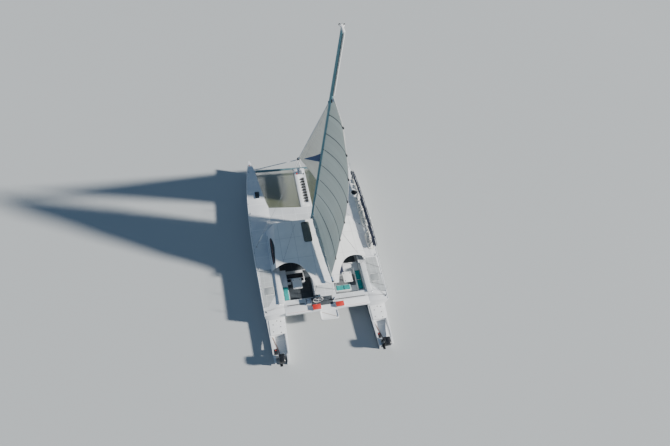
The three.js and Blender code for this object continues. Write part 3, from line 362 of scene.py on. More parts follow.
@dataclass(frozen=True)
class Awning(Finish):
    """Tight white awning cloth: canvas weave, felled seams with two rows of stitches, and dust."""

    seam: float = 1.32
    cross_seam: float = 2.1
    rough: float = 0.85

    def paint(self, recipe: Recipe) -> None:
        """Seams run fore and aft and across, with the weave as fine relief."""
        x, y, _ = recipe.axes()
        shifted = x + self.seam / 2
        band = shifted.line(self.seam, 0.05)
        fell = (band + y.line(self.cross_seam, 0.05)).clipped()
        rows = (band - shifted.line(self.seam, 0.03)).clipped()
        stitch = rows * y.line(0.02, 0.012)
        dust = recipe.noise(0.8, detail=8).eased(0.5, 0.8)
        base = recipe.mixed(dust * 0.5, self.mottled(recipe, 1.2), self.shade(0.14))
        colour = recipe.mixed((fell * 0.5 + stitch * 0.4).clipped(), base, self.shade(0.34))
        weave = recipe.cells(420, (1, 2, 1)) + recipe.cells(420, (2, 1, 1))
        normal = recipe.relief(fell, 0.002, recipe.relief(weave, 0.0007))
        recipe.set({"Base Color": colour, "Roughness": self.rough, "Normal": normal,
                    "Sheen Weight": 0.15, "Sheen Roughness": 0.6})


@dataclass(frozen=True)
class Upholstery(Finish):
    """Woven cushion and canvas cloth: thread weave darkened between the threads as painted shade, and faded
    patches.
    """

    thread: float = 300
    rough: float = 0.9
    uneven: float = 0.28

    def paint(self, recipe: Recipe) -> None:
        """Two crossing threads with painted shade between them, a cloudy fade and a soft sheen."""
        warp = recipe.cells(self.thread, (1, 3, 2)) + recipe.cells(self.thread, (3, 1, 2))
        fade = recipe.noise(5, detail=6).eased(0.42, 0.72)
        pale = tuple(min(1.0, c * 1.5 + 0.02) for c in self.colour)
        colour = recipe.mixed(fade * 0.4, self.mottled(recipe, 3), pale)
        # darker between the threads: painted shade
        colour = recipe.mixed(warp.eased(0.5, 1.1) * 0.45, colour, self.shade(0.5))
        folds = recipe.relief(recipe.noise(7, detail=2), 0.006)
        recipe.set({"Base Color": colour, "Roughness": self.rough, "Sheen Weight": 0.35,
                    "Sheen Roughness": 0.5, "Normal": recipe.relief(warp, 0.0008, folds)})


@dataclass(frozen=True)
class SailPlies(Finish):
    """Laminated sailcloth: sewn panels of slightly different age, corner patches and a fine scrim."""

    panels: float = 14
    glow: float = 0.3
    rough: float = 0.6
    uneven: float = 0.1

    def paint(self, recipe: Recipe) -> None:
        """Panels follow the sail's own map, u from luff to leech and v from foot to head."""
        u, v = recipe.woven()
        tilted = v * self.panels + u * 0.45
        seam = tilted.line(1.0, 0.05)
        row = tilted.sum("FLOOR")
        tone = recipe.wire(recipe.node("ShaderNodeTexWhiteNoise", {"noise_dimensions": "1D"}, {"W": row}))
        patch = ((1 - u).sum("POWER", 2.0) + (v * 1.6).sum("POWER", 2.0)).below(0.035)
        clew = (u.sum("POWER", 2.0) + (v * 1.6).sum("POWER", 2.0)).below(0.03)
        head = v.above(0.94)
        tabling = (u.above(0.972) + v.below(0.012)).clipped()
        crossing = (u * 420).line(6.0, 0.5) * 0.35 + (v * 900).line(6.0, 0.5) * 0.35
        base = recipe.mixed(tone * 0.75, self.mottled(recipe, 0.5), self.shade(0.2))
        stains = recipe.noise(0.35, (1, 1, 0.4), 7).eased(0.5, 0.72)
        base = recipe.mixed(stains * 0.3, base, (0.5, 0.47, 0.4))
        thick = (patch + clew + head + tabling).clipped()
        colour = recipe.mixed((thick * 0.3 + crossing * 0.12).clipped(), base, self.shade(0.3))
        colour = recipe.mixed(seam * 0.6, colour, self.shade(0.45))
        creases = recipe.relief(recipe.noise(1.6, (1, 1, 0.5), 4), 0.03)
        recipe.set({"Base Color": colour, "Roughness": self.rough,
                    "Normal": recipe.relief((seam + thick + crossing * 0.2).clipped(), 0.0015, creases)})
        recipe.shining_through(self.glow, self.colour)


@dataclass(frozen=True)
class Metal(Finish):
    """Anodised alloy or polished steel, brushed along one axis, with salt bloom and small scratches."""

    grain: Way = Way.UP
    bare: float = 1.0
    rough: float = 0.3

    def paint(self, recipe: Recipe) -> None:
        """Fine brushing along the grain and dull blotches of salt."""
        stretch = tuple(0.02 if way is self.grain else 1.0 for way in Way)
        brushed = recipe.noise(260, stretch, 2)
        salt = recipe.noise(3, detail=8).eased(0.55, 0.75)
        scratch = recipe.noise(18, (6, 1, 1), 1).eased(0.68, 0.72)
        bloom = tuple(0.5 + c * 0.4 for c in self.colour)
        colour = recipe.mixed(salt * 0.35, self.mottled(recipe, 2), bloom)
        rough = brushed * 0.14 + salt * 0.25 + scratch * 0.1 + (self.rough - 0.07)
        recipe.set({"Base Color": colour, "Metallic": self.bare, "Roughness": rough.clipped(),
                    "Normal": recipe.relief(brushed, 0.0002)})


@dataclass(frozen=True)
class Plastic(Finish):
    """Moulded plastic or enamel, with a fine texture and dust in the hollows."""

    texture: float = 180
    dust: float = 0.25
    rough: float = 0.45

    def paint(self, recipe: Recipe) -> None:
        """A pebbled surface with pale dust."""
        pebble = recipe.cells(self.texture)
        dusty = recipe.noise(6, detail=8).eased(0.5, 0.8)
        pale = tuple(c + (0.55 - c) * 0.35 for c in self.colour)
        recipe.set({"Base Color": recipe.mixed(dusty * self.dust, self.mottled(recipe, 2.5), pale),
                    "Roughness": (dusty * 0.2 + pebble * 0.08 + self.rough).clipped(),
                    "Normal": recipe.relief(pebble, 0.0004)})


@dataclass(frozen=True)
class Glazing(Finish):
    """Smoked acrylic: deep gloss with salt drops and fine crazing."""

    rough: float = 0.08

    def paint(self, recipe: Recipe) -> None:
        """Dried drops and hairline crazing over a glossy coat."""
        drops = recipe.cells(38).below(0.2) * recipe.noise(2, detail=4).eased(0.45, 0.7)
        craze = recipe.noise(120, detail=2).eased(0.62, 0.66)
        recipe.set({"Base Color": recipe.mixed(drops * 0.25, self.mottled(recipe, 3), (0.35, 0.37, 0.38)),
                    "Roughness": (drops * 0.3 + craze * 0.12 + self.rough).clipped(),
                    "Normal": recipe.relief(recipe.noise(3, detail=1), 0.002), "Coat Weight": 0.5,
                    "Coat Roughness": 0.05})


@dataclass(frozen=True)
class PanelCells(Finish):
    """A flexible panel: dark cells in a grid, thin pale conductors and a matt film."""

    rough: float = 0.5

    def paint(self, recipe: Recipe) -> None:
        """Square cells of 125 mm with two fine conductors in each."""
        x, y, _ = recipe.axes()
        edge = ((x + 0.065).line(0.13, 0.006) + y.line(0.13, 0.006)).clipped()
        wires = x.line(0.043, 0.0025)
        colour = recipe.mixed(edge * 0.6, self.mottled(recipe, 2), (0.3, 0.31, 0.29))
        colour = recipe.mixed(wires * 0.3, colour, (0.4, 0.42, 0.4))
        film = recipe.noise(9, detail=3)
        recipe.set({"Base Color": colour, "Roughness": (film * 0.2 + self.rough - 0.1),
                    "Normal": recipe.relief(film, 0.002)})


@dataclass(frozen=True)
class RopeLay(Finish):
    """Braided rope or webbing: crossing strands with flecks of a second colour."""

    fleck: Triple = (0.1, 0.12, 0.2)
    strand: float = 90
    rough: float = 0.9

    def paint(self, recipe: Recipe) -> None:
        """Strands as small cells, some of them in the fleck's colour, darkened between them as painted
        shade.
        """
        strands = recipe.cells(self.strand, (1.6, 1, 1.3))
        flecks = recipe.noise(self.strand * 0.6, detail=1).eased(0.58, 0.62)
        colour = recipe.mixed(flecks * 0.55, self.mottled(recipe, 4), self.fleck)
        # darker between the strands: painted shade
        colour = recipe.mixed(strands.eased(0.35, 0.7) * 0.5, colour, self.shade(0.5))
        recipe.set({"Base Color": colour, "Roughness": self.rough,
                    "Normal": recipe.relief(strands, 0.0015)})


@lru_cache(maxsize=None)
def material_of(finish: Finish) -> bpy.types.Material:
    """The one material of a finish."""
    recipe = Recipe(finish.title)
    finish.paint(recipe)
    return recipe.material


HULL_SKIN = Gelcoat("hull_gelcoat", "gelcoat", (0.78, 0.79, 0.79), decked=True)
WHITE_MOULDING = Gelcoat("white_moulding", "gelcoat", (0.82, 0.83, 0.83))
CABIN_SKIN = Gelcoat("cabin_gelcoat", "gelcoat", (0.75, 0.77, 0.78))
DECK_GRIT = DeckPaint("deck_nonskid", "nonskid", (0.66, 0.68, 0.69))
LID_GRIT = DeckPaint("lid_nonskid", "nonskid", (0.78, 0.79, 0.79), pitch=(0.62, 0.65))
SHADE_CLOTH = Awning("awning_cloth", "sunshade", (0.84, 0.84, 0.82))
MAIN_CLOTH = SailPlies("mainsail_laminate", "sailcloth", (0.68, 0.73, 0.7), panels=21, glow=0.32)
JIB_CLOTH = SailPlies("jib_laminate", "jibcloth", (0.72, 0.73, 0.7), panels=18, glow=0.36)
WHITE_DACRON = SailPlies("leech_dacron", "sailcloth", (0.88, 0.88, 0.85), panels=3, glow=0.8, uneven=0.04)
SPARE_SAIL_CLOTH = SailPlies("spare_sail_cloth", "sailcloth", (0.72, 0.72, 0.69), panels=24, glow=0.1,
                             uneven=0.06)
BATTEN_CLOTH = Upholstery("batten_pocket_cloth", "sailcloth", (0.09, 0.11, 0.13), thread=200)
NAVY_CANVAS = Upholstery("navy_canvas", "navy", (0.012, 0.022, 0.06), thread=220)
TEAL_CLOTH = Upholstery("teal_cloth", "teal", (0.0, 0.32, 0.3))
BLACK_CLOTH = Upholstery("black_cloth", "black_cloth", (0.02, 0.02, 0.024))
SPAR_BLUE = Metal("blue_spar_paint", "spar_blue", (0.1, 0.26, 0.31), bare=0.15, rough=0.35)
SPAR_ALLOY = Metal("spar_anodising", "alloy", (0.36, 0.45, 0.55), rough=0.38, bare=0.75)
BEAM_ALLOY = Metal("beam_anodising", "alloy", (0.36, 0.45, 0.55), rough=0.4, bare=0.7, grain=Way.ACROSS)
STEEL = Metal("polished_steel", "steel", (0.72, 0.73, 0.74), rough=0.2)
STEEL_ACROSS = Metal("brushed_steel_plate", "steel", (0.62, 0.63, 0.65), rough=0.35, grain=Way.ACROSS)
SMOKED = Glazing("smoked_acrylic", "smoked", (0.012, 0.015, 0.017))
FLEXIBLE_PANEL = PanelCells("flexible_panel", "panel", (0.1, 0.115, 0.1))
HATCH_GREY = Plastic("hatch_grey", "grey", (0.33, 0.35, 0.35))
WHITE_ENAMEL = Plastic("white_enamel", "white", (0.82, 0.82, 0.8), texture=90, dust=0.15, rough=0.35)
MOTOR_BLACK = Plastic("motor_paint", "outboard_black", (0.012, 0.013, 0.016), rough=0.25)
BLACK_RUBBER = Plastic("black_rubber", "outboard_black", (0.02, 0.02, 0.02), texture=260, rough=0.7)
LID_RED = Plastic("red_lid", "red", (0.6, 0.03, 0.02), texture=120, dust=0.2)
NET_WEBBING = RopeLay("net_webbing", "net", (0.2, 0.22, 0.12), fleck=(0.09, 0.11, 0.05), strand=60)
# Dark navy for the spreader wedges: painted shade of the sail over them.
SPREADER_SHADE_NAVY = Plastic("spreader_navy_painted_shade", "navy", (0.025, 0.075, 0.2), texture=120, rough=0.35)
# Alloy for the forward crossbeam, darkened to a teal as painted shade of the jib over it.
SHADED_ALLOY = Metal("crossbeam_painted_shade", "alloy", (0.13, 0.24, 0.27), rough=0.4, bare=0.5,
                     grain=Way.ACROSS)
BEAM_ALLOY_DARK = Metal("dark_track", "outboard_black", (0.05, 0.06, 0.07), bare=0.6, rough=0.4,
                        grain=Way.ACROSS)
FLOOR_GRIT = DeckPaint("cockpit_mat", "grey", (0.13, 0.14, 0.15), pitch=(0.6, 0.6))
# Darker mats for the port side and the helm: painted shade of the sail over them.
PORT_FLOOR_SHADE_GRIT = DeckPaint("port_cockpit_mat_painted_shade", "grey", (0.045, 0.055, 0.065), pitch=(0.6, 0.6))
DECK_GREY = DeckPaint("side_deck_paint", "nonskid", (0.42, 0.44, 0.44), pitch=(0.5, 0.6))
HELM_GREY = Plastic("helm_console", "grey", (0.035, 0.06, 0.085), texture=90, rough=0.4)
SEAT_CLOTH = Upholstery("helm_seat_cloth", "navy", (0.05, 0.09, 0.15), thread=220)
PINK_ROPE = RopeLay("pink_rope", "red", (0.62, 0.22, 0.18), fleck=(0.75, 0.6, 0.55))
POLE_WOOD = RopeLay("varnished_pole", "alloy", (0.4, 0.24, 0.13), fleck=(0.25, 0.13, 0.06), strand=40,
                    rough=0.4)
PIPE_BROWN = Plastic("brown_pipe", "outboard_black", (0.16, 0.07, 0.035), texture=120)
WHITE_ROPE = RopeLay("white_rope", "white", (0.7, 0.7, 0.66))
GREY_ROPE = RopeLay("grey_rope", "steel", (0.3, 0.31, 0.32), fleck=(0.5, 0.1, 0.08))


# The bench: modelling moves that every sub-assembly uses


def pick(*pieces: Piece) -> None:
    """Selects only these pieces, the first one active."""
    bpy.ops.object.select_all(action="DESELECT")
    for piece in pieces:
        piece.select_set(True)
    if pieces:
        bpy.context.view_layer.objects.active = pieces[0]


@contextmanager
def editing(piece: Piece) -> Iterator[None]:
    """Edit mode on one piece, all of its faces selected."""
    pick(piece)
    bpy.ops.object.mode_set(mode="EDIT")
    bpy.ops.mesh.select_mode(type="FACE")
    bpy.ops.mesh.select_all(action="SELECT")
    yield
    bpy.ops.object.mode_set(mode="OBJECT")


def face_out() -> None:
    """Turns every face of the piece in edit mode outwards."""
    bpy.ops.mesh.select_all(action="SELECT")
    bpy.ops.mesh.normals_make_consistent(inside=False)


def extruded(piece: Piece, place: Callable[[Vector], Sequence[float]]) -> None:
    """Extrudes what is selected in edit mode, and puts each new point where place says."""
    bpy.ops.mesh.extrude_region_move()
    mesh = bmesh.from_edit_mesh(piece.data)
    for vert in [v for v in mesh.verts if v.select]:
        vert.co = place(vert.co)
    bmesh.update_edit_mesh(piece.data)


def applied(piece: Piece, kind: str, **settings: object) -> Piece:
    """Adds a modifier and applies it."""
    pick(piece)
    modifier = piece.modifiers.new(kind.title(), kind)
    for name, value in settings.items():
        setattr(modifier, name, value)
    bpy.ops.object.modifier_apply(modifier=modifier.name)
    return piece


def named(piece: Piece, name: str) -> Piece:
    """Names a piece and its mesh."""
    piece.name = piece.data.name = name
    return piece


def smoothed(piece: Piece, degrees: float = 35) -> Piece:
    """Smooth shading that keeps edges sharper than the angle."""
    pick(piece)
    bpy.ops.object.shade_smooth_by_angle(angle=radians(degrees))
    return piece


def settled(piece: Piece, name: str) -> Piece:
    """Names a piece and puts its place into its mesh."""
    pick(piece)
    bpy.ops.object.transform_apply(location=True, rotation=True, scale=True)
    return named(piece, name)


def moved(piece: Piece, matrix: Matrix) -> Piece:
    """Places a piece's mesh with a matrix, its normals kept outwards."""
    piece.data.transform(matrix)
    if matrix.determinant() < 0:
        piece.data.flip_normals()
    return piece


def upright(at: Sequence[float]) -> Matrix:
    """A frame at a place, its axes along the scene's."""
    return Matrix.Translation(at)


def aimed(origin: Sequence[float], along: Sequence[float]) -> Matrix:
    """A frame at origin whose Z lies along a direction and whose Y leans upwards."""
    z = Vector(along).normalized()
    x = Vector((0, 0, 1)).cross(z)
    if x.length < TINY:
        x = Vector((1, 0, 0)).cross(z)
    x.normalize()
    matrix = Matrix((x, z.cross(x), z)).transposed().to_4x4()
    matrix.translation = Vector(origin)
    return matrix


def clamped(value: float, low: float = 0.0) -> float:
    """A value kept between low and 1."""
    return max(low, min(1.0, value))


def widened(ring: Sequence[Vector], share: float) -> list[Vector]:
    """A ring of points, grown from its middle."""
    middle = sum(ring, Vector()) / len(ring)
    return [middle + (p - middle) * share for p in ring]


def washer(inner: float, outer: float, half: float) -> Profile:
    """The profile of a flat ring, from its two radii and half its thickness."""
    return [(inner, -half), (outer, -half), (outer, half), (inner, half)]


def pulley(rim: float, belly: float) -> Profile:
    """The profile of a round rope block."""
    return [(0.012, -0.03), (rim, -0.026), (belly, 0), (rim, 0.026), (0.012, 0.03)]


def block(name: str, size: Triple, centre: Sequence[float], edge: float = 0.008, rounds: int = 2) -> Piece:
    """A box with bevelled edges.

    Args:
        name: the piece's name.
        size: full size along x, y and z.
        centre: the middle.
        edge: bevel width.
        rounds: bevel segments.
    Returns:
        The piece.
    """
    pick()
    bpy.ops.mesh.primitive_cube_add(size=1, location=centre)
    piece = bpy.context.active_object
    piece.scale = size
    settled(piece, name)
    with editing(piece):
        bpy.ops.mesh.bevel(offset=edge, segments=rounds, affect="EDGES", clamp_overlap=True)
    return smoothed(piece)


def turned(name: str, profile: Profile, matrix: Matrix, steps: int = 24, smooth: float = 40) -> Piece:
    """A round piece, extruded ring by ring along its profile.

    Args:
        name: the piece's name.
        profile: radius and place along the axis of each ring, in order.
        matrix: where the axis lies, its Z along the profile.
        steps: sides of the circle.
        smooth: the angle below which edges shade smooth, in degrees.
    Returns:
        The piece.
    """
    pick()
    (before, base), *rest = profile
    bpy.ops.mesh.primitive_circle_add(vertices=steps, radius=before, fill_type="NGON", location=(0, 0, base))
    piece = settled(bpy.context.active_object, name)
    with editing(piece):
        for radius, along in rest:
            grow = radius / before
            extruded(piece, lambda at, g=grow, z=along: Vector((at.x * g, at.y * g, z)))
            before = radius
        face_out()
    return smoothed(moved(piece, matrix), smooth)


def catmull(points: Sequence[Sequence[float]], parts: int) -> list[Vector]:
    """Points on a smooth curve through the given points."""
    knots = [Vector(p) for p in points]
    knots = [2 * knots[0] - knots[1], *knots, 2 * knots[-1] - knots[-2]]
    curve = []
    for k in range(1, len(knots) - 2):
        a, b, c, d = knots[k - 1:k + 3]
        for j in range(parts):
            t = j / parts
            curve.append(0.5 * (2 * b + (c - a) * t + (2 * a - 5 * b + 4 * c - d) * t * t
                                + (3 * b - a - 3 * c + d) * t ** 3))
    return [*curve, knots[-2]]


def swept(name: str, points: Sequence[Sequence[float]], radius: float, rounds: int = 2, smooth: int = 0,
          closed: bool = False) -> Piece:
    """A round tube through points.

    Args:
        name: the piece's name.
        points: the line it follows.
        radius: half its thickness.
        rounds: how round its section is.
        smooth: steps of a smooth curve between points, or 0 for straight runs.
        closed: whether its end meets its start.
    Returns:
        The mesh of the tube.
    """
    path = catmull(points, smooth) if smooth else [Vector(p) for p in points]
    curve = bpy.data.curves.new(name, "CURVE")
    curve.dimensions = "3D"
    curve.bevel_depth, curve.bevel_resolution, curve.use_fill_caps = radius, rounds, True
    spline = curve.splines.new("POLY")
    spline.points.add(len(path) - 1)
    for knot, place in zip(spline.points, path):
        knot.co = (*place, 1)
    spline.use_cyclic_u = closed
    piece = bpy.data.objects.new(name, curve)
    bpy.context.scene.collection.objects.link(piece)
    pick(piece)
    bpy.ops.object.convert(target="MESH")
    return smoothed(named(bpy.context.active_object, name), 50)


def lofted(name: str, rings: Sequence[Sequence[Vector]]) -> Piece:
    """A closed piece through rings of points that all have the same count.

    Args:
        name: the piece's name.
        rings: the rings, from one end to the other.
    Returns:
        The piece.
    """
    pick()
    bpy.ops.mesh.primitive_circle_add(vertices=len(rings[0]), radius=1, fill_type="NGON")
    piece = settled(bpy.context.active_object, name)
    for vert, place in zip(piece.data.vertices, rings[0]):
        vert.co = place
    with editing(piece):
        for before, after in zip(rings, rings[1:]):
            extruded(piece, lambda at, old=before, new=after: new[
                min(range(len(old)), key=lambda k: (old[k] - at).length)])
        face_out()
    return smoothed(piece, 40)


def sheeted(name: str, columns: int, rows: int, place: Callable[[float, float], Sequence[float]],
            thick: float = 0.0) -> Piece:
    """A grid laid over a surface.

    Args:
        name: the piece's name.
        columns: squares along u.
        rows: squares along v.
        place: the surface's point at u and v, each from 0 to 1.
        thick: thickness given to it, half on each side.
    Returns:
        The piece, with u and v as its UV map.
    """
    pick()
    bpy.ops.mesh.primitive_grid_add(x_subdivisions=columns, y_subdivisions=rows, size=1)
    piece = named(bpy.context.active_object, name)
    for vert in piece.data.vertices:
        vert.co = place(vert.co.x + 0.5, vert.co.y + 0.5)
    if thick:
        applied(piece, "SOLIDIFY", thickness=thick, offset=0)
    return smoothed(piece, 50)


def refined(node: str, edge: float, rounds: int, degrees: float = 32) -> Piece:
    """A welded copy of a CAD node with its edges rounded.

    Args:
        node: the CAD node.
        edge: bevel width.
        rounds: bevel segments.
        degrees: edges sharper than this are rounded.
    Returns:
        The copy, not yet dressed.
    """
    pick(FRAME["nodes"][node])
    bpy.ops.object.duplicate(linked=False)
    piece = bpy.context.active_object
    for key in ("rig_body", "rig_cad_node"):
        piece.pop(key, None)
    piece.parent = None
    piece.matrix_world = Matrix()
    named(piece, f"{node}_shell").data.materials.clear()
    with editing(piece):
        bpy.ops.mesh.customdata_custom_splitnormals_clear()
        bpy.ops.mesh.remove_doubles(threshold=1e-5)
        bpy.ops.mesh.dissolve_limited(angle_limit=radians(0.5))
    if edge:
        applied(piece, "BEVEL", width=edge, segments=rounds, limit_method="ANGLE",
                angle_limit=radians(degrees), use_clamp_overlap=True)
    return smoothed(piece, degrees)


def joined(name: str, pieces: Sequence[Piece]) -> Piece:
    """Several pieces as one mesh."""
    pick(*pieces)
    if len(pieces) > 1:
        bpy.ops.object.join()
    return named(bpy.context.active_object, name)


def rounded_loop(centre: Sequence[float], size: tuple[float, float], corner: float,
                 steps: int = 5) -> list[Vector]:
    """Points round a level rectangle with rounded corners.

    Args:
        centre: its middle.
        size: its full width and length.
        corner: radius of its corners.
        steps: parts of each corner's arc.
    Returns:
        The points, anticlockwise.
    """
    points = []
    for quarter, (sx, sy) in enumerate(((1, 1), (-1, 1), (-1, -1), (1, -1))):
        for k in range(steps + 1):
            a = (quarter + k / steps) * pi / 2
            points.append(Vector(centre) + Vector((sx * (size[0] / 2 - corner) + corner * cos(a),
                                                   sy * (size[1] / 2 - corner) + corner * sin(a), 0)))
    return points


# Dressed pieces: a shape with its finish, its body and the CAD nodes that it replaces


def painted(piece: Piece, finish: Finish) -> Piece:
    """Gives a piece its material."""
    piece.data.materials.clear()
    piece.data.materials.append(material_of(finish))
    return piece


def dress(piece: Piece, finish: Finish, body: str = "boat", stands_for: Sequence[str] = ()) -> Piece:
    """Gives a finished piece its material and its body.

    Args:
        piece: the piece.
        finish: its finish.
        body: the CAD body that it rides on.
        stands_for: CAD nodes that it replaces.
    Returns:
        The piece.
    """
    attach(painted(piece, finish), body)
    if stands_for:
        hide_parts(*stands_for)
    LOG.info("%s on %s", piece.name, body)
    return piece


def group(name: str, pieces: Sequence[Piece], finish: Finish, body: str = "boat",
          stands_for: Sequence[str] = ()) -> Piece:
    """Several pieces as one dressed piece."""
    return dress(joined(name, pieces), finish, body, stands_for)


def shell(node: str, edge: float, rounds: int, finish: Finish, body: str = "boat") -> Piece:
    """A CAD node with rounded edges, dressed in its place."""
    return dress(refined(node, edge, rounds), finish, body, [node])


def slab(name: str, size: Triple, centre: Sequence[float], finish: Finish, body: str = "boat",
         edge: float = 0.008, rounds: int = 2) -> Piece:
    """A dressed box with bevelled edges."""
    return dress(block(name, size, centre, edge, rounds), finish, body)


def fitting(name: str, profile: Profile, matrix: Matrix, finish: Finish, body: str = "boat",
            steps: int = 24, smooth: float = 40) -> Piece:
    """A dressed round piece."""
    return dress(turned(name, profile, matrix, steps, smooth), finish, body)


def tube(name: str, points: Sequence[Sequence[float]], radius: float, finish: Finish, body: str = "boat",
         rounds: int = 2, smooth: int = 0, closed: bool = False) -> Piece:
    """A dressed tube through points."""
    return dress(swept(name, points, radius, rounds, smooth, closed), finish, body)


def bead(name: str, centre: Triple, size: tuple[float, float], corner: float, radius: float, finish: Finish,
         body: str = "boat") -> Piece:
    """A dressed round bead along a level rectangle with rounded corners."""
    return tube(name, rounded_loop(centre, size, corner), radius, finish, body, closed=True)


def hang(piece: Piece) -> None:
    """Adds up the area of one side of a thickened grid of cloth, and does nothing more with it."""
    one_side = sum(face.area for face in piece.data.polygons) / 2


# Places on the boat


def raked(point: Sequence[float]) -> Vector:
    """A point of the upright mast, leant aft with it about its foot."""
    turn = Matrix.Rotation(MAST_RAKE, 4, "X")
    return turn @ (Vector(point) - Vector((0, 0, DECK_Z))) + Vector((0, 0, DECK_Z))


def swung(point: Sequence[float]) -> Vector:
    """A point of the centred boom, swung to its rest and leant with the mast."""
    pin = Vector((0, LUFF_AXIS_Y, 0))
    return raked(Matrix.Rotation(BOOM_REST, 4, "Z") @ (Vector(point) - pin) + pin)


def eased_row(rows: Rows, at: float) -> Sequence[float]:
    """A row between the rows of a table, on a smooth curve that never overshoots them."""
    if at <= rows[0][0]:
        return rows[0]
    if at >= rows[-1][0]:
        return rows[-1]
    k = next(i for i in range(len(rows) - 1) if at <= rows[i + 1][0])
    low, high = rows[k], rows[k + 1]
    span = high[0] - low[0]
    t = (at - low[0]) / span

    def slope(i: int, c: int) -> float:
        """Rise per unit between two rows."""
        return (rows[i + 1][c] - rows[i][c]) / (rows[i + 1][0] - rows[i][0])

    def tangent(i: int, c: int) -> float:
        """The curve's slope at a row."""
        if i == 0 or i == len(rows) - 1:
            return slope(min(i, len(rows) - 2), c)
        before, after = slope(i - 1, c), slope(i, c)
        return 2 * before * after / (before + after) if before * after > 0 else 0.0

    return [at] + [
        (1 + 2 * t) * (1 - t) ** 2 * low[c] + t * (1 - t) ** 2 * span * tangent(k, c)
        + t * t * (3 - 2 * t) * high[c] + t * t * (t - 1) * span * tangent(k + 1, c)
        for c in range(1, len(low))]


class Probe:
    """Finds where straight lines meet a CAD node."""

    def __init__(self, node: str) -> None:
        """Reads the node's mesh once."""
        mesh = FRAME["nodes"][node].data
        corners, faces = [v.co for v in mesh.vertices], [tuple(p.vertices) for p in mesh.polygons]
        self.tree = BVHTree.FromPolygons(corners, faces)

    def meet(self, start: Sequence[float], way: Sequence[float]) -> tuple[Vector, Vector]:
        """Where a line first meets the node, and the surface's normal there."""
        place, normal, _, _ = self.tree.ray_cast(Vector(start), Vector(way))
        if place is None:
            raise ValueError(f"no surface from {start} along {way}")
        return place, normal


@lru_cache(maxsize=None)
def skin_of(node: str) -> Probe:
    """The one probe of a CAD node."""
    return Probe(node)


def hull_wall(side: str, sign: int, y: float, z: float) -> tuple[Vector, Vector]:
    """A point on a hull's outer side, and the surface's normal there."""
    return skin_of(f"hull_{side}").meet((sign * OUTSIDE, y, z), (-sign, 0, 0))


def deck_edge(side: str, sign: int, y: float, inset: float = 0.05) -> Vector:
    """A point on a hull's outer deck edge."""
    wall, _ = hull_wall(side, sign, y, DECK_Z - 0.06)
    top, _ = skin_of(f"hull_{side}").meet((wall.x - sign * inset, y, 5), (0, 0, -1))
    return Vector((wall.x, y, top.z))


# Sub-assemblies


@dataclass
class Studio:
    """The photograph's camera, a pale floor on the waterline and soft light."""

    eye: Triple = (-7.261, -23.421, 37.721)
    turn_degrees: Triple = (34.495, -7.265, -11.931)
    lens_mm: float = 24.72
    sensor_mm: float = 36
    sight: float = 3000
    floor_span: float = 900
    floor_tones: tuple[Triple, Triple] = ((0.4, 0.42, 0.42), (0.43, 0.445, 0.445))
    sun_from: Triple = (0.826, -0.245, 0.508)
    sun_tone: Triple = (1, 0.97, 0.92)
    sun_degrees: float = 4
    sun_power: float = 8.5
    sky_tone: Triple = (0.42, 0.65, 1.0)
    sky_power: float = 0.33

    @staticmethod
    def shown(name: str, data: bpy.types.ID) -> Piece:
        """A camera's or a lamp's object, in the scene."""
        made = bpy.data.objects.new(name, data)
        bpy.context.scene.collection.objects.link(made)
        return made

    def camera(self) -> None:
        """Sets up the camera."""
        lens = bpy.data.cameras.new("camera")
        lens.lens, lens.sensor_width, lens.clip_end = self.lens_mm, self.sensor_mm, self.sight
        seat = self.shown("camera", lens)
        seat.location = self.eye
        seat.rotation_euler = [radians(a) for a in self.turn_degrees]
        bpy.context.scene.camera = seat

    def floor(self) -> None:
        """Lays the floor in the plane of the waterline."""
        plane = sheeted("studio_floor", 1, 1, lambda u, v: (
            (u - 0.5) * self.floor_span, (v - 0.5) * self.floor_span, 0))
        recipe = Recipe("studio_floor")
        recipe.set({"Base Color": recipe.mixed(recipe.noise(0.02), *self.floor_tones), "Roughness": 0.9})
        plane.data.materials.append(recipe.material)

    def light(self) -> None:
        """A soft sun from starboard and a pale sky."""
        lamp = bpy.data.lights.new("sun", "SUN")
        lamp.energy, lamp.angle, lamp.color = self.sun_power, radians(self.sun_degrees), self.sun_tone
        sun = self.shown("sun", lamp)
        sun.rotation_euler = Vector(self.sun_from).to_track_quat("Z", "Y").to_euler()
        world = bpy.data.worlds.new("sky")
        world.use_nodes = True
        sky = world.node_tree.nodes["Background"]
        sky.inputs[0].default_value = (*self.sky_tone, 1)
        sky.inputs[1].default_value = self.sky_power
        bpy.context.scene.world = world

    def build(self) -> None:
        """Makes the floor and the light."""
        self.floor()
        self.light()


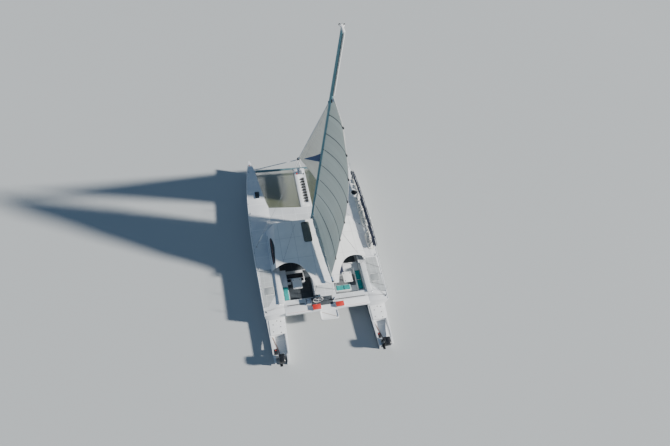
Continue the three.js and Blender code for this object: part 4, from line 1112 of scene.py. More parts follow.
@dataclass
class HullPair:
    """Both hulls with their rub rails, toe rails, side lights and deck fittings."""

    rub_radius: float = 0.036
    rub_drop: float = 0.085
    toe_radius: float = 0.02
    stern_rub_z: float = 0.86
    lights_y: tuple[float, ...] = (3.6, 0.6, -2.6)
    light_size: tuple[float, float] = (1.7, 0.24)
    light_z: float = 1.36
    cleat_length: float = 0.28
    bow_light_at: tuple[float, float] = (4.9, 7.75)
    # y of each cleat, and how far it stands inside the deck's edge
    cleat_rows: ClassVar[Rows] = ((6.9, 0.16), (1.9, 0.2), (-4.0, 0.2))

    def rails(self, side: str, sign: int) -> None:
        """The rub rail below the deck edge, the toe rail on it and the dark rub rail of the stern."""
        edge = [deck_edge(side, sign, -8.43 + 0.6 * k) for k in range(28)]
        for name, radius, out, up, rounds in (("rub_rail", self.rub_radius, 0.012, -self.rub_drop, 3),
                                              ("toe_rail", self.toe_radius, 0.035, 0.008, 2)):
            line = [p + Vector((-sign * out, 0, up)) for p in edge]
            tube(f"{name}_{side}", line, radius, WHITE_MOULDING, rounds=rounds)
        low = [hull_wall(side, sign, -8.5 - 0.44 * k, self.stern_rub_z)[0] - Vector((sign * 0.012, 0, 0))
               for k in range(9)]
        tube(f"stern_rub_rail_{side}", low, 0.03, BLACK_RUBBER, rounds=3)

    def side_light(self, side: str, sign: int, y: float, number: int) -> None:
        """A long dark light in the hull's side, in a thin frame."""
        half, tall = self.light_size[0] / 2, self.light_size[1] / 2

        def place(u: float, v: float) -> Vector:
            """A point of the lens, a little proud of the skin."""
            along = 2 * u - 1
            rise = (2 * v - 1) * tall * sqrt(max(0.0, 1 - abs(along) ** 3.5))
            wall, normal = hull_wall(side, sign, y + along * half, self.light_z + rise)
            return wall + normal * 0.004

        dress(sheeted(f"side_light_{side}_{number}", 24, 4, place, 0.006), SMOKED)
        ring = [place(k / 20, 0) for k in range(21)] + [place(1 - k / 20, 1) for k in range(1, 20)]
        tube(f"side_light_frame_{side}_{number}", ring, 0.012, WHITE_ENAMEL, closed=True)

    def cleat(self, name: str, at: Vector, finish: Finish = STEEL, heading: float = 90) -> None:
        """A horned mooring cleat: a base plate, two posts and a bent horn."""
        half = self.cleat_length / 2
        parts = [block(name, (half * 1.1, 0.07, 0.014), (0, 0, 0.006), 0.005)]
        post = [(0.016, 0.01), (0.012, 0.03), (0.014, 0.055)]
        parts += [turned(name, post, upright((s * 0.045, 0, 0)), 12) for s in (-1, 1)]
        horn = [(x, 0, z) for x, z in ((-half, 0.072), (-half * 0.6, 0.062), (0, 0.056), (half * 0.6, 0.062),
                                       (half, 0.072))]
        parts.append(swept(name, horn, 0.014, 3, smooth=4))
        turn = upright(at) @ Matrix.Rotation(radians(heading), 4, "Z")
        dress(moved(joined(name, parts), turn), finish)

    def bow_light(self, side: str, sign: int) -> None:
        """A small navigation light on the bow's deck."""
        x, y = self.bow_light_at
        dome = [(0.045, -0.004), (0.045, 0.02), (0.036, 0.024), (0.036, 0.05), (0.026, 0.068),
                (0.008, 0.076)]
        fitting(f"bow_light_{side}", dome, upright((sign * x, y, deck_edge(side, sign, y, 0.1).z)),
                LID_RED if sign < 0 else WHITE_ENAMEL, steps=20)

    def build(self) -> None:
        """Dresses both hulls."""
        for side, sign in SIDES:
            node = f"hull_{side}"
            dress(refined(node, 0.022, 3, 40), HULL_SKIN, "boat", [node])
            self.rails(side, sign)
            for number, y in enumerate(self.lights_y, 1):
                self.side_light(side, sign, y, number)
            for number, (y, inset) in enumerate(self.cleat_rows, 1):
                at = deck_edge(side, sign, y) - Vector((sign * inset, 0, 0.002))
                self.cleat(f"cleat_{side}_{number}", at)
            self.cleat(f"cleat_{side}_aft", Vector((sign * 5.2, -8.12, DECK_Z)), MOTOR_BLACK, 60 * sign)
            self.bow_light(side, sign)


@dataclass
class Sails:
    """Reefed mainsail with its battens, its flaked folds, and the jib on its furling foil."""

    foot_z: float = 4.25
    head_z: float = 17.5
    jib_tack: float = 0.62
    cloth: float = 0.012
    reef: float = 0.001
    panel_foot: float = 0.74
    battens_v: tuple[float, ...] = (0.893, 0.755, 0.63, 0.495, 0.361, 0.219, 0.098)
    # the forestay's foot, and its head on the upright mast
    stay_foot: Triple = (0, 7.6, 2.62)
    stay_head: Triple = (0, 0.175, HOUNDS_Z - 0.04)

    # height, chord, angle to starboard in degrees, camber as a share of the chord
    main_rows: ClassVar[Rows] = (
        (4.25, 6.3, 3.5, 0), (5.0, 5.95, 5.5, 0.03), (6.0, 5.45, 8.5, 0.06), (7.14, 5.03, 11, 0.08),
        (9.04, 4.65, 14, 0.085), (10.79, 4.07, 17.5, 0.085), (12.58, 3.42, 20, 0.085),
        (14.22, 2.56, 22, 0.08), (16.07, 1.65, 22, 0.07), (17.5, 0.16, 22, 0.03))
    # distance behind the boom's pin, half width and half height of the folds
    fold_rows: ClassVar[Rows] = (
        (0.18, 0.11, 0.08), (0.42, 0.24, 0.15), (1.4, 0.29, 0.185), (3.6, 0.25, 0.165), (5.6, 0.17, 0.125),
        (6.5, 0.08, 0.07))

    def main_point(self, u: float, v: float, proud: float = 0.0) -> Vector:
        """A point of the mainsail, u from luff to leech and v from foot to head.

        Args:
            u: share of the chord.
            v: share of the height.
            proud: how far off the cloth, towards starboard.
        Returns:
            The point, leant with the mast.
        """
        z = self.foot_z + v * (self.head_z - self.foot_z)
        _, chord, degrees, camber = eased_row(self.main_rows, z)
        angle = radians(degrees)
        belly = 4 * u * (1 - u) * camber * chord + proud
        return raked((u * chord * sin(angle) + belly * cos(angle),
                      LUFF_AXIS_Y + 0.063 - u * chord * cos(angle) + belly * sin(angle),
                      z + 0.25 * u * min(1, v * 5)))

    def stay_run(self) -> Vector:
        """The forestay from its foot to its head."""
        return raked(self.stay_head) - Vector(self.stay_foot)

    def stay_point(self, distance: float) -> Vector:
        """A point on the forestay, measured from its foot."""
        return Vector(self.stay_foot) + self.stay_run().normalized() * distance

    def jib_point(self, u: float, v: float) -> Vector:
        """A point of the jib, u from luff to leech and v from foot to head."""
        chord = 5.3 - 5.15 * v - 0.64 * v * (1 - v)
        angle = radians(16 + 10 * v)
        belly = 4 * u * (1 - u) * (0.05 + 0.04 * min(1, 4 * v)) * chord
        luff = self.stay_point(self.jib_tack + v * (self.stay_run().length - 1.32))
        return luff + Vector((u * chord * sin(angle) + belly * cos(angle),
                              -u * chord * cos(angle) + belly * sin(angle), 0.55 * u * u * (1 - v)))

    def pocket(self, side: int, v: float, along: float, across: float) -> Vector:
        """A point of the batten pocket at height v, on one face of the sail."""
        proud = side * (self.cloth / 2 + 0.004)
        return self.main_point(0.03 + 0.975 * along, v + (across - 0.5) * 0.0056, proud)

    def batten(self, v: float, number: int) -> None:
        """A batten pocket from luff to leech, sloping down aft, with a black end box on the leech."""
        parts = [sheeted("pocket", 24, 1, partial(self.pocket, side, v), 0.005) for side in (-1, 1)]
        group(f"batten_pocket_{number}", parts, BATTEN_CLOTH, "boom")
        end, before = self.main_point(1.0, v), self.main_point(0.97, v)
        box = block(f"batten_end_{number}", (0.09, 0.13, 0.25), (0, 0, 0), 0.02, 3)
        dress(moved(box, aimed(end - (end - before).normalized() * 0.02, end - before)), MOTOR_BLACK, "boom")

    def leech_share(self, v: float) -> float:
        """How far the pale panel on the upper leech has opened at a height, from 0 to 1."""
        return clamped((v - self.panel_foot) / 0.1) * clamped((0.995 - v) / 0.02)

    def mainsail(self) -> None:
        """The sail above the reef, with its battens, edge ropes, pale panel, headboard and cars."""
        low, foot = self.reef, self.panel_foot

        def place(u: float, v: float) -> Vector:
            """A point of the cloth, which ends early where the pale panel takes its place."""
            up = low + (1 - low) * v
            return self.main_point(0.008 + (0.992 - 0.07 * self.leech_share(up)) * u, up)

        sail = sheeted("mainsail_cloth", 40, 96, place, self.cloth)
        dress(sail, MAIN_CLOTH, "boom", ["mainsail"])
        hang(sail)
        for number, v in enumerate(self.battens_v, 1):
            self.batten(v, number)
        strip = sheeted("leech_panel", 3, 40, lambda u, v: self.main_point(
            1.0 - (0.004 + 0.078 * self.leech_share(foot + 0.255 * v)) * (1 - u), foot + 0.255 * v), 0.016)
        dress(strip, WHITE_DACRON, "boom")
        leech = [self.main_point(1.0, low + (1 - low) * k / 70) for k in range(71)]
        tube("leech_tape", leech, 0.016, WHITE_ROPE, "boom")
        luff = [self.main_point(0.0, low + (0.985 - low) * k / 40) - Vector((0, 0.02, 0))
                for k in range(41)]
        tube("luff_rope", luff, 0.014, WHITE_ROPE, "boom")
        board = sheeted("headboard", 6, 6,
                        lambda u, v: self.main_point(0.06 + 0.8 * u, 0.984 + 0.014 * v), 0.03)
        dress(board, BEAM_ALLOY, "boom")
        slab("head_car", (0.09, 0.12, 0.24), self.main_point(0.0, 0.985) + Vector((0.02, -0.03, 0.05)),
             MOTOR_BLACK, "boom", 0.02, 3)
        cars = [moved(block("luff_car", (0.05, 0.06, 0.11), (0, 0, 0), 0.01),
                      upright(self.main_point(0.0, v) + Vector((0, -0.01, 0)))) for v in self.battens_v]
        group("luff_cars", cars, MOTOR_BLACK, "boom")

    def folds(self) -> None:
        """The reefed part of the sail, flaked in soft overlapping folds on the boom and tied down."""
        def place(u: float, v: float) -> Vector:
            """One long cloth laid over itself: round the boom from the port side to the starboard side."""
            behind = 0.2 + 6.26 * v
            _, wide, tall = eased_row(self.fold_rows, behind)
            turn = radians(-30 + 240 * u)
            ripple = 0.86 + 0.075 * sin(9 * turn + 2 * sin(v * 17)) + 0.03 * sin(31 * v + 3 * turn)
            tie = 1 - 0.16 * exp(-((((v * 6.5) % 1) - 0.5) / 0.07) ** 2)
            return swung((wide * ripple * tie * cos(turn), LUFF_AXIS_Y - behind,
                          BOOM_Z + 0.06 + tall * ripple * tie * sin(turn)))

        cloth = sheeted("flaked_folds", 60, 120, place, 0.01)
        dress(cloth, MAIN_CLOTH, "boom", ["mainsail_folds"])
        hang(cloth)
        for number in range(6):
            v = (number + 0.5) / 6.5
            tube(f"sail_tie_{number + 1}", widened([place(k / 24, v) for k in range(25)], 1.03), 0.012,
                 NAVY_CANVAS, "boom")

    def jib(self) -> None:
        """The jib with its edge tapes and clew ring, its foil and its furling drum."""
        sail = sheeted("jib_cloth", 30, 90, lambda u, v: self.jib_point(0.012 + 0.988 * u, v), self.cloth)
        dress(sail, JIB_CLOTH, "jib", ["jib"])
        hang(sail)
        shell("jib_foil", 0.004, 2, SPAR_ALLOY, "jib")
        for name, line in (("leech", [self.jib_point(1.0, k / 60) for k in range(61)]),
                           ("foot", [self.jib_point(0.02 + 0.98 * k / 60, 0) for k in range(61)])):
            tube(f"jib_{name}_tape", line, 0.014, WHITE_ROPE, "jib")
        drum = aimed(self.stay_point(0.2), self.stay_run().normalized())
        cage = [(0.06, -0.1), (0.15, -0.1), (0.15, -0.085), (0.09, -0.08), (0.085, 0.07), (0.14, 0.08),
                (0.14, 0.095), (0.05, 0.1)]
        fitting("furling_drum", cage, drum, MOTOR_BLACK, "jib", 28)
        line = [drum @ Vector((0.1 * cos(k * 0.5), 0.1 * sin(k * 0.5), -0.07 + k * 0.0016))
                for k in range(88)]
        tube("furling_line_turns", line, 0.009, WHITE_ROPE, "jib", 1)
        ring = self.jib_point(1.0, 0.0) + Vector((-0.02, 0.05, 0.03))
        fitting("jib_clew_ring", washer(0.02, 0.05, 0.012), aimed(ring, (1, 0, 0)), STEEL, "jib", 20)

    def build(self) -> None:
        """Makes both sails."""
        self.mainsail()
        self.folds()
        self.jib()


@dataclass
class Canopy:
    """The sunshade: a tight curved cloth with a scalloped aft edge on a tube frame, and the panel on it."""

    top_z: float = 3.3
    crown: float = 0.16
    front_y: float = -0.4
    front_half: float = 3.6
    corner: tuple[float, float] = (3.95, -4.85)
    hem: float = 0.03
    battens_u: tuple[float, ...] = (0.08, 0.2, 0.35, 0.5, 0.65, 0.8, 0.92)
    bows_y: tuple[float, ...] = (-2.35, -3.95)
    panel_at: tuple[float, float] = (-0.815, -1.7)

    def rise(self, x: float) -> float:
        """Height of the shade's top over a place abeam."""
        return self.top_z + self.crown * (1 - (x / 4) ** 2)

    def aft(self, u: float) -> Vector:
        """The scalloped aft edge, u from port to starboard."""
        across = 2 * u - 1
        side, reach = copysign(1, across), abs(across)
        if reach <= 0.3:
            x, y = reach / 0.3, -7.0
        elif reach <= 0.6:
            t = (reach - 0.3) / 0.3
            x = (1 - t) ** 2 + 2 * t * (1 - t) * 1.25 + t * t * 1.85
            y = -(1 - t) ** 2 * 7 - 2 * t * (1 - t) * 5.75 - t * t * 5
        else:
            t = (reach - 0.6) / 0.4
            s = 1 - t
            x = s ** 3 * 1.85 + 3 * t * s ** 2 * 2.3 + 3 * t * t * s * 3.3 + t ** 3 * self.corner[0]
            y = -s ** 3 * 5 - 3 * t * s ** 2 * 4.45 - 3 * t * t * s * 4.33 + t ** 3 * self.corner[1]
        return Vector((side * x, y, 0))

    def point(self, u: float, v: float, sink: float = 0.012) -> Vector:
        """A point of the shade, v from its front edge to its aft edge."""
        aft = self.aft(u)
        front = Vector((aft.x * self.front_half / self.corner[0], self.front_y, 0))
        at = front.lerp(aft, v)
        slack = 0.012 * sin(pi * v) * abs(sin(pi * at.x / 1.32))
        at.z = self.rise(at.x) - sink - slack
        return at

    def build(self) -> None:
        """Makes the cloth, its hem, its battens and bows, the lines on it, the frame and the panel."""
        cloth = sheeted("sunshade_cloth", 60, 44, self.point, 0.012)
        dress(cloth, SHADE_CLOTH, "boat", ["sunshade_roof"])
        edge = [(k / 60, 1) for k in range(61)] + [(1, 1 - k / 12) for k in range(1, 12)]
        edge += [(1 - k / 60, 0) for k in range(61)] + [(0, k / 12) for k in range(1, 12)]
        rim = [self.point(u, v, 0.03) for u, v in edge]
        hem = tube("sunshade_hem", rim, self.hem, SHADE_CLOTH, rounds=3, closed=True)
        hang(cloth)
        for number, u in enumerate(self.battens_u, 1):
            line = [self.point(u, 0.02 + 0.95 * k / 20, 0.042) for k in range(21)]
            tube(f"shade_batten_{number}", line, 0.02, STEEL)
        for number, y in enumerate(self.bows_y, 1):
            bow = [Vector((x / 10, y, self.rise(x / 10) - 0.047)) for x in range(-36, 37, 2)]
            tube(f"shade_bow_{number}", bow, 0.018, STEEL)
        for number, side in enumerate((-1, 1), 1):
            line = [Vector((x, y, self.rise(x) + 0.004)) for x, y in (
                (side * (3.3 - 0.12 * k), -4.4 + 0.28 * k) for k in range(14))]
            tube(f"roof_line_{number}", line, 0.007, GREY_ROPE)
        shell("shade_frame", 0, 2, STEEL)
        self.panel()

    def panel(self) -> None:
        """The flexible panel beside the mast, with rounded corners, an edge strip and its junction box."""
        shell("roof_panel", 0.004, 2, FLEXIBLE_PANEL)
        x, y = self.panel_at
        ring = rounded_loop((x, y, 0), (0.73, 2.08), 0.14, 6)
        for at in ring:
            at.z = self.rise(at.x) + 0.037
        tube("panel_edge_strip", ring, 0.007, BLACK_RUBBER, closed=True)
        slab("panel_junction", (0.12, 0.08, 0.02), (x, -0.78, self.rise(x) + 0.046), MOTOR_BLACK)


@dataclass
class Foredeck:
    """Crossbeam, striker, spine walk, nets and windlass."""

    mesh_pitch: float = 0.075
    webbing: float = 0.022
    net_z: float = 1.726
    net_inner: float = 0.55
    # count and pitch of the black wedges painted as the side rail's shadow on the walk's treads
    shadow_notches: int = 9
    shadow_notch_pitch: float = 0.34
    eyes_x: tuple[float, ...] = (-3.2, -2.0, -0.8, 0.8, 2.0, 3.2)

    def net(self, side: str, sign: int) -> None:
        """An open net of crossing webbing inside the CAD sheet's outline, laced to a rope edge."""
        skin = skin_of(f"net_{side}")
        low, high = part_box(f"net_{side}")
        inner, outer = self.net_inner, max(abs(low[0]), abs(high[0]))
        columns = round((high[1] - low[1] - 0.1) / self.mesh_pitch)
        rows = round((outer - inner) / self.mesh_pitch)

        def place(u: float, v: float) -> Vector:
            """A knot of the net, sagging a little towards its middle."""
            across = min(inner + (4.4 - inner) * v, 3.5)
            back = skin.meet((sign * across, -5, self.net_z), (0, 1, 0))[0].y + 0.03
            y = back + (high[1] - 0.04 - back) * u
            wide = abs(skin.meet((sign * 9, y, self.net_z), (-sign, 0, 0))[0].x) - 0.03
            x = inner + (wide - inner) * v
            return Vector((sign * x, y, self.net_z - 0.05 * sin(pi * u) * sin(pi * v)))

        grid = sheeted(f"net_webbing_{side}", columns, rows, place)
        applied(grid, "WIREFRAME", thickness=self.webbing, use_even_offset=False, use_relative_offset=False)
        dress(grid, NET_WEBBING, "boat", [f"net_{side}"])
        edge = [(k / 40, 0) for k in range(41)] + [(1, k / 20) for k in range(1, 21)]
        edge += [(1 - k / 40, 1) for k in range(1, 41)] + [(0, 1 - k / 20) for k in range(1, 20)]
        tube(f"net_edge_rope_{side}", [place(u, v) for u, v in edge], 0.014, WHITE_ROPE, closed=True)

    def spine(self) -> None:
        """The walk from the bridge deck to the crossbeam, with non-skid strips and black wedges painted as
        its rail's shadow.
        """
        shell("spine_walk", 0.012, 2, WHITE_MOULDING)
        for name, x, wide in (("port", -0.36, 0.3), ("starboard", 0.44, 0.14)):
            slab(f"spine_grip_{name}", (wide, 4.3, 0.008), (x, 4.35, 1.801), DECK_GRIT, edge=0.003)
        # black wedges on the walk, painted as the side rail's shadow on each tread
        for number in range(self.shadow_notches):
            y = 2.955 + self.shadow_notch_pitch * number
            corners = ((0.34, y + 0.15), (0.34, y - 0.12), (-0.16, y - 0.09), (-0.06, y + 0.02))
            rings = [[Vector((x, at, z)) for x, at in corners] for z in (1.778, 1.806)]
            dress(lofted(f"spine_painted_shadow_notch_{number + 1}", rings), BLACK_RUBBER)

    def windlass(self) -> None:
        """The windlass with its chain, and the small winches beside it."""
        shell("windlass", 0.012, 3, STEEL)
        links = []
        for k in range(26):
            tilt = Matrix.Rotation(pi / 2 * (k % 2), 4, "Y")
            drop = 0.03 * sin(pi * k / 25)
            links.append(moved(turned("link", washer(0.012, 0.024, 0.005), Matrix(), 10),
                               upright((0.12, 6.5 + 0.034 * k, 1.935 - drop)) @ tilt))
        group("anchor_chain", links, STEEL)
        drum = [(0.07, 0), (0.07, 0.02), (0.05, 0.03), (0.045, 0.09), (0.06, 0.11), (0.06, 0.13),
                (0.03, 0.14)]
        for number, (x, y, finish) in enumerate(((-0.3, 6.35, LID_RED), (-0.28, 6.62, WHITE_ENAMEL),
                                                 (0.36, 6.3, MOTOR_BLACK)), 1):
            fitting(f"foredeck_winch_{number}", drum, upright((x, y, 1.8)), finish, steps=20)

    def beam(self) -> None:
        """The crossbeam with end fittings and eyes for the nets, and the striker frame with its ball."""
        # the crossbeam's dark teal is painted shade
        shell("forward_crossbeam", 0, 2, SHADED_ALLOY)
        shell("striker", 0.004, 2, WHITE_ENAMEL)
        for side, sign in SIDES:
            fitting(f"crossbeam_collar_{side}", washer(0.121, 0.132, 0.03),
                    aimed((sign * 4.38, 7.15, 1.7), (1, 0, 0)), STEEL_ACROSS, steps=32)
        for number, x in enumerate(self.eyes_x, 1):
            slab(f"net_eye_{number}", (0.05, 0.05, 0.03), (x, 7.04, 1.73), STEEL, edge=0.01)

    def build(self) -> None:
        """Makes the whole foredeck."""
        self.beam()
        self.spine()
        self.windlass()
        for side, sign in SIDES:
            self.net(side, sign)


@dataclass
class BareNodes:
    """CAD nodes whose shape is right: welded, with rounded edges, in their own finishes."""

    # node, edge width, finish, body
    rows: ClassVar[tuple[tuple[str, float, Finish, str], ...]] = (
        ("bridge_deck", 0.02, DECK_GRIT, "boat"), ("aft_beam", 0.03, WHITE_MOULDING, "boat"),
        ("coachroof", 0.015, CABIN_SKIN, "boat"), ("mast", 0.006, SPAR_BLUE, "boat"),
        ("shroud_port", 0.0, STEEL, "boat"), ("shroud_starboard", 0.0, STEEL, "boat"),
        ("boom", 0.006, SPAR_ALLOY, "boom"),
        ("bench_port", 0.03, CABIN_SKIN, "boat"), ("bench_starboard", 0.03, CABIN_SKIN, "boat"),
        ("table_port", 0.012, WHITE_ENAMEL, "boat"), ("table_starboard", 0.012, WHITE_ENAMEL, "boat"),
        ("inner_seat", 0.03, CABIN_SKIN, "boat"), ("helm_pedestal", 0.03, HELM_GREY, "boat"),
        ("aft_tray", 0.02, WHITE_MOULDING, "boat"))

    def build(self) -> None:
        """Dresses them all."""
        for node, edge, finish, body in self.rows:
            shell(node, edge, 3, finish, body)


@dataclass
class HatchLids:
    """Opening lids on the hull decks, each on its own body."""

    fore_x: float = -4.56
    round_at: tuple[float, float] = (5.0, 3.27)
    deck_at: tuple[float, float] = (4.7, -6.25)
    stern_y: float = -9.16
    # places of the flush catches on a stern lid, from its middle
    catches: ClassVar[Rows] = (
        (0.05, 0.52), (0.36, 0.44), (-0.3, 0.22), (0.3, -0.02), (-0.36, -0.38), (0.28, -0.52))

    def catch(self, at: Triple, radius: float = 0.045) -> Piece:
        """A flush round catch with a finger well."""
        well = [(radius, -0.004), (radius, 0.003), (radius * 0.8, 0.005), (radius * 0.7, 0.002),
                (radius * 0.3, 0.001)]
        return turned("catch", well, upright(at), 20)

    def foredeck(self) -> None:
        """The smoked foredeck hatch in its alloy frame, and the round hatch with its pale rim."""
        node, x = "foredeck_hatch", self.fore_x
        shell(node, 0.008, 3, SMOKED, node)
        bead(f"{node}_frame", (x, 3.98, 1.99), (0.42, 0.78), 0.06, 0.014, BEAM_ALLOY, node)
        knobs = [self.catch((x + s * 0.12, 3.66, 2.001), 0.024) for s in (-1, 1)]
        group(f"{node}_knobs", knobs, MOTOR_BLACK, node)
        hinges = [block("hinge", (0.06, 0.03, 0.022), (x + s * 0.13, 4.385, 1.985), 0.006) for s in (-1, 1)]
        group(f"{node}_hinges", hinges, STEEL, node)
        node = "round_hatch"
        shell(node, 0.012, 3, MOTOR_BLACK, node)
        rim = [(0.3, 0), (0.34, 0), (0.34, 0.016), (0.325, 0.03), (0.305, 0.03), (0.296, 0.02)]
        fitting(f"{node}_rim", rim, aimed((*self.round_at, 1.955), (0, 0, 1)), WHITE_ENAMEL, steps=40)
        ribs = [(0.06, 0.0), (0.09, 0.002), (0.09, 0.012), (0.07, 0.016), (0.02, 0.016)]
        fitting(f"{node}_ribs", ribs, aimed((*self.round_at, 1.999), (0, 0, 1)), BLACK_RUBBER, node, 28)

    def build(self) -> None:
        """Makes all lids."""
        self.foredeck()
        for side, sign in SIDES:
            node = f"deck_hatch_{side}"
            x, y = sign * self.deck_at[0], self.deck_at[1]
            shell(node, 0.01, 3, HATCH_GREY, node)
            bead(f"{node}_frame", (x, y, 1.912), (0.76, 0.74), 0.07, 0.014, WHITE_ENAMEL)
            slab(f"{node}_lens", (0.54, 0.52, 0.006), (x, y, 1.941), HATCH_GREY, node, 0.003)
            grips = [self.catch((x + s * 0.2, -6.53, 1.944), 0.022) for s in (-1, 1)]
            group(f"{node}_catches", grips, MOTOR_BLACK, node)
            lid, x = f"stern_lid_{side}", sign * STERN_X
            shell(lid, 0.012, 3, LID_GRIT, lid)
            dots = [self.catch((x + dx, self.stern_y + dy, 0.991)) for dx, dy in self.catches]
            group(f"{lid}_catches", dots, MOTOR_BLACK, lid)
            bead(f"{lid}_gasket", (x, self.stern_y, 0.956), (1.25, 1.3), 0.05, 0.008, BLACK_RUBBER, lid)


@dataclass
class GuardRails:
    """Posts and wires on both hulls, with a rolled sail, a dropped sail and two fenders to starboard."""

    posts_y: tuple[float, ...] = (6.6, 4.8, 3.0, 1.2, -0.6, -2.4, -4.2, -6.0, -7.7)
    height: float = 0.7
    inset: float = 0.07
    hug: float = 0.013
    wires_z: tuple[float, float] = (0.685, 0.352)
    fenders_y: tuple[float, float] = (-0.15, -0.95)
    # the middle and half the length of the place where the round hatch swings up beside the roll
    hatch_gap: tuple[float, float] = (3.4, 0.95)

    # y and share of the roll's full section
    roll_rows: ClassVar[Rows] = (
        (-3.45, 0.5), (-3.25, 0.9), (-2.4, 1), (-1.5, 0.87), (-0.6, 1), (0.3, 0.86), (1.2, 1), (2.1, 0.88),
        (3.0, 1), (4.0, 0.86), (4.8, 1), (5.45, 1), (5.65, 0.55))
    # y, and the inner and outer edge of the sail that lies on the starboard deck
    spare_rows: ClassVar[Rows] = (
        (-3.4, 5.0, 5.3), (-3.15, 4.84, 5.44), (-2.3, 4.78, 5.46), (-1.7, 4.86, 5.46), (-1.35, 5.2, 5.46),
        (-1.0, 5.16, 5.47), (-0.7, 4.9, 5.48), (0.5, 4.86, 5.48), (1.5, 4.86, 5.48), (2.45, 4.9, 5.48),
        (2.8, 5.2, 5.47), (3.0, 5.375, 5.46), (3.5, 5.375, 5.45), (3.85, 5.2, 5.44), (4.6, 5.16, 5.4),
        (5.1, 5.2, 5.36), (5.3, 5.26, 5.34))

    def foot(self, side: str, sign: int, y: float) -> Vector:
        """Where a post stands."""
        return deck_edge(side, sign, y, self.inset) - Vector((sign * self.inset, 0, 0))

    def rail(self, side: str, sign: int) -> None:
        """Posts with their bases and caps, and two wires with their end screws."""
        post = [(0.0125, -0.01), (0.0125, 0.34), (0.0155, 0.345), (0.0155, 0.36), (0.0125, 0.365),
                (0.0115, 0.68), (0.014, 0.69), (0.006, self.height)]
        base = [(0.045, -0.004), (0.045, 0.008), (0.02, 0.014), (0.018, 0.07), (0.013, 0.075)]
        screw = [(0.006, 0.02), (0.011, 0.03), (0.011, 0.17), (0.006, 0.18)]
        posts, bases = [], []
        feet = [self.foot(side, sign, y) for y in self.posts_y]
        for at in feet:
            posts.append(turned("post", post, upright(at), 14))
            bases.append(turned("base", base, upright(at), 20))
        wires = [swept("wire", [p + Vector((0, 0, z)) for p in feet], 0.005) for z in self.wires_z]
        screws = [turned("screw", screw, aimed(end + Vector((0, 0, z)), near - end), 10)
                  for end, near in ((feet[0], feet[1]), (feet[-1], feet[-2])) for z in self.wires_z]
        group(f"guard_rail_{side}", posts + wires + screws, STEEL, stands_for=[f"rail_{side}"])
        group(f"guard_rail_bases_{side}", bases, STEEL)

    def roll_point(self, u: float, v: float) -> Vector:
        """A point of the roll, u round it and v along it, bunched and slack between its ties."""
        low, high = self.roll_rows[0][0], self.roll_rows[-1][0]
        y = low + (high - low) * v
        _, share = eased_row(self.roll_rows, y)
        end = min(1.0, sqrt(max(0.0, 1 - (2 * abs(v - 0.5)) ** 40)) + 0.02)
        turn = u * 2 * pi
        bunch = 0.93 + 0.05 * sin(4 * turn + 11 * v * pi) + 0.04 * sin(2 * turn + 70 * v)
        wide, tall = 0.094 * bunch * end, 0.188 * share * bunch * end
        return deck_edge("starboard", 1, y, self.inset) + Vector((
            -self.inset - self.hug - 0.095 + wide * cos(turn), 0,
            self.height - 0.17 + tall * sin(turn)))

    def roll(self) -> None:
        """A bunched navy sail lashed inside the starboard wires, slack between its ties."""
        roll = sheeted("rolled_sail", 28, 260, self.roll_point)
        with editing(roll):
            bpy.ops.mesh.remove_doubles(threshold=1e-4)
            bpy.ops.mesh.select_mode(type="EDGE")
            bpy.ops.mesh.select_all(action="DESELECT")
            bpy.ops.mesh.select_non_manifold()
            bpy.ops.mesh.fill_holes(sides=0)
            face_out()
        dress(roll, NAVY_CANVAS, "boat", ["sail_roll"])
        for name, reach, base, drop in (("outer", 0.1, 0.03, 0.3), ("inner", -0.3, -0.17, 0.26)):
            flap = sheeted(f"roll_fold_{name}", 8, 150,
                           partial(self.fold, reach=reach, base=base, drop=drop), 0.006)
            dress(flap, NAVY_CANVAS)
            hang(flap)
        ties = []
        for k in range(19):
            ring = [self.roll_point(j / 20, 0.03 + 0.94 * k / 18) for j in range(20)]
            ties.append(swept("tie", widened(ring, 1.05), 0.008, 1, closed=True))
        group("roll_ties", ties, WHITE_ROPE)

    def fold(self, u: float, v: float, reach: float, base: float, drop: float) -> Vector:
        """A point of a loose crumpled fold over the roll.

        Args:
            u: share of the way down from its top.
            v: share of the way along it.
            reach: how far out its hem hangs.
            base: how far out its top lies.
            drop: how far down its hem hangs.
        Returns:
            The point.
        """
        y = self.roll_rows[0][0] + 0.1 + (self.roll_rows[-1][0] - self.roll_rows[0][0] - 0.2) * v
        crumple = sin(37 * v) * 0.5 + sin(83 * v + 2) * 0.3 + sin(171 * v + 5 * u) * 0.2
        if reach < base:
            # the inner fold is tucked in beside the round hatch
            free = (abs(y - self.hatch_gap[0]) - self.hatch_gap[1]) / 0.3
            reach = base + (reach - base) * clamped(free)
            drop *= clamped(free, 0.25)
        across = base + (reach - base) * u * (0.8 + 0.35 * crumple)
        return deck_edge("starboard", 1, y, self.inset) + Vector((
            across - self.inset - self.hug, 0.02 * crumple * u,
            self.height + 0.02 - drop * u * u + 0.03 * crumple * u))

    def spare_point(self, u: float, v: float) -> Vector:
        """A point of the dropped sail, u from its inner edge to the rail and v from aft to forward."""
        y = self.spare_rows[0][0] + (self.spare_rows[-1][0] - self.spare_rows[0][0]) * v
        _, inner, outer = eased_row(self.spare_rows, y)
        wobble = noise.noise(Vector((u * 2, y * 2.2, 4)))
        x = inner + (outer - inner) * u + 0.05 * wobble * (1 - u)
        deck, _ = skin_of("hull_starboard").meet((x, y, 5), (0, 0, -1))
        ridge = 1 - abs(noise.noise(Vector((x * 2.2 + y * 1.6, y * 4.2 - x * 2.5, 0)))) * 2.2
        fine = 1 - abs(noise.noise(Vector((x * 7 + y * 4, y * 11 - x * 6, 7)))) * 2
        edge = min(1.0, 5 * u, 5 * (1 - u), 14 * v, 14 * (1 - v))
        lift = max(0.0, 0.17 * ridge + 0.05 * fine) * (0.15 + 0.85 * edge)
        return Vector((x + 0.03 * fine * edge, y, deck.z + 0.006 + lift))

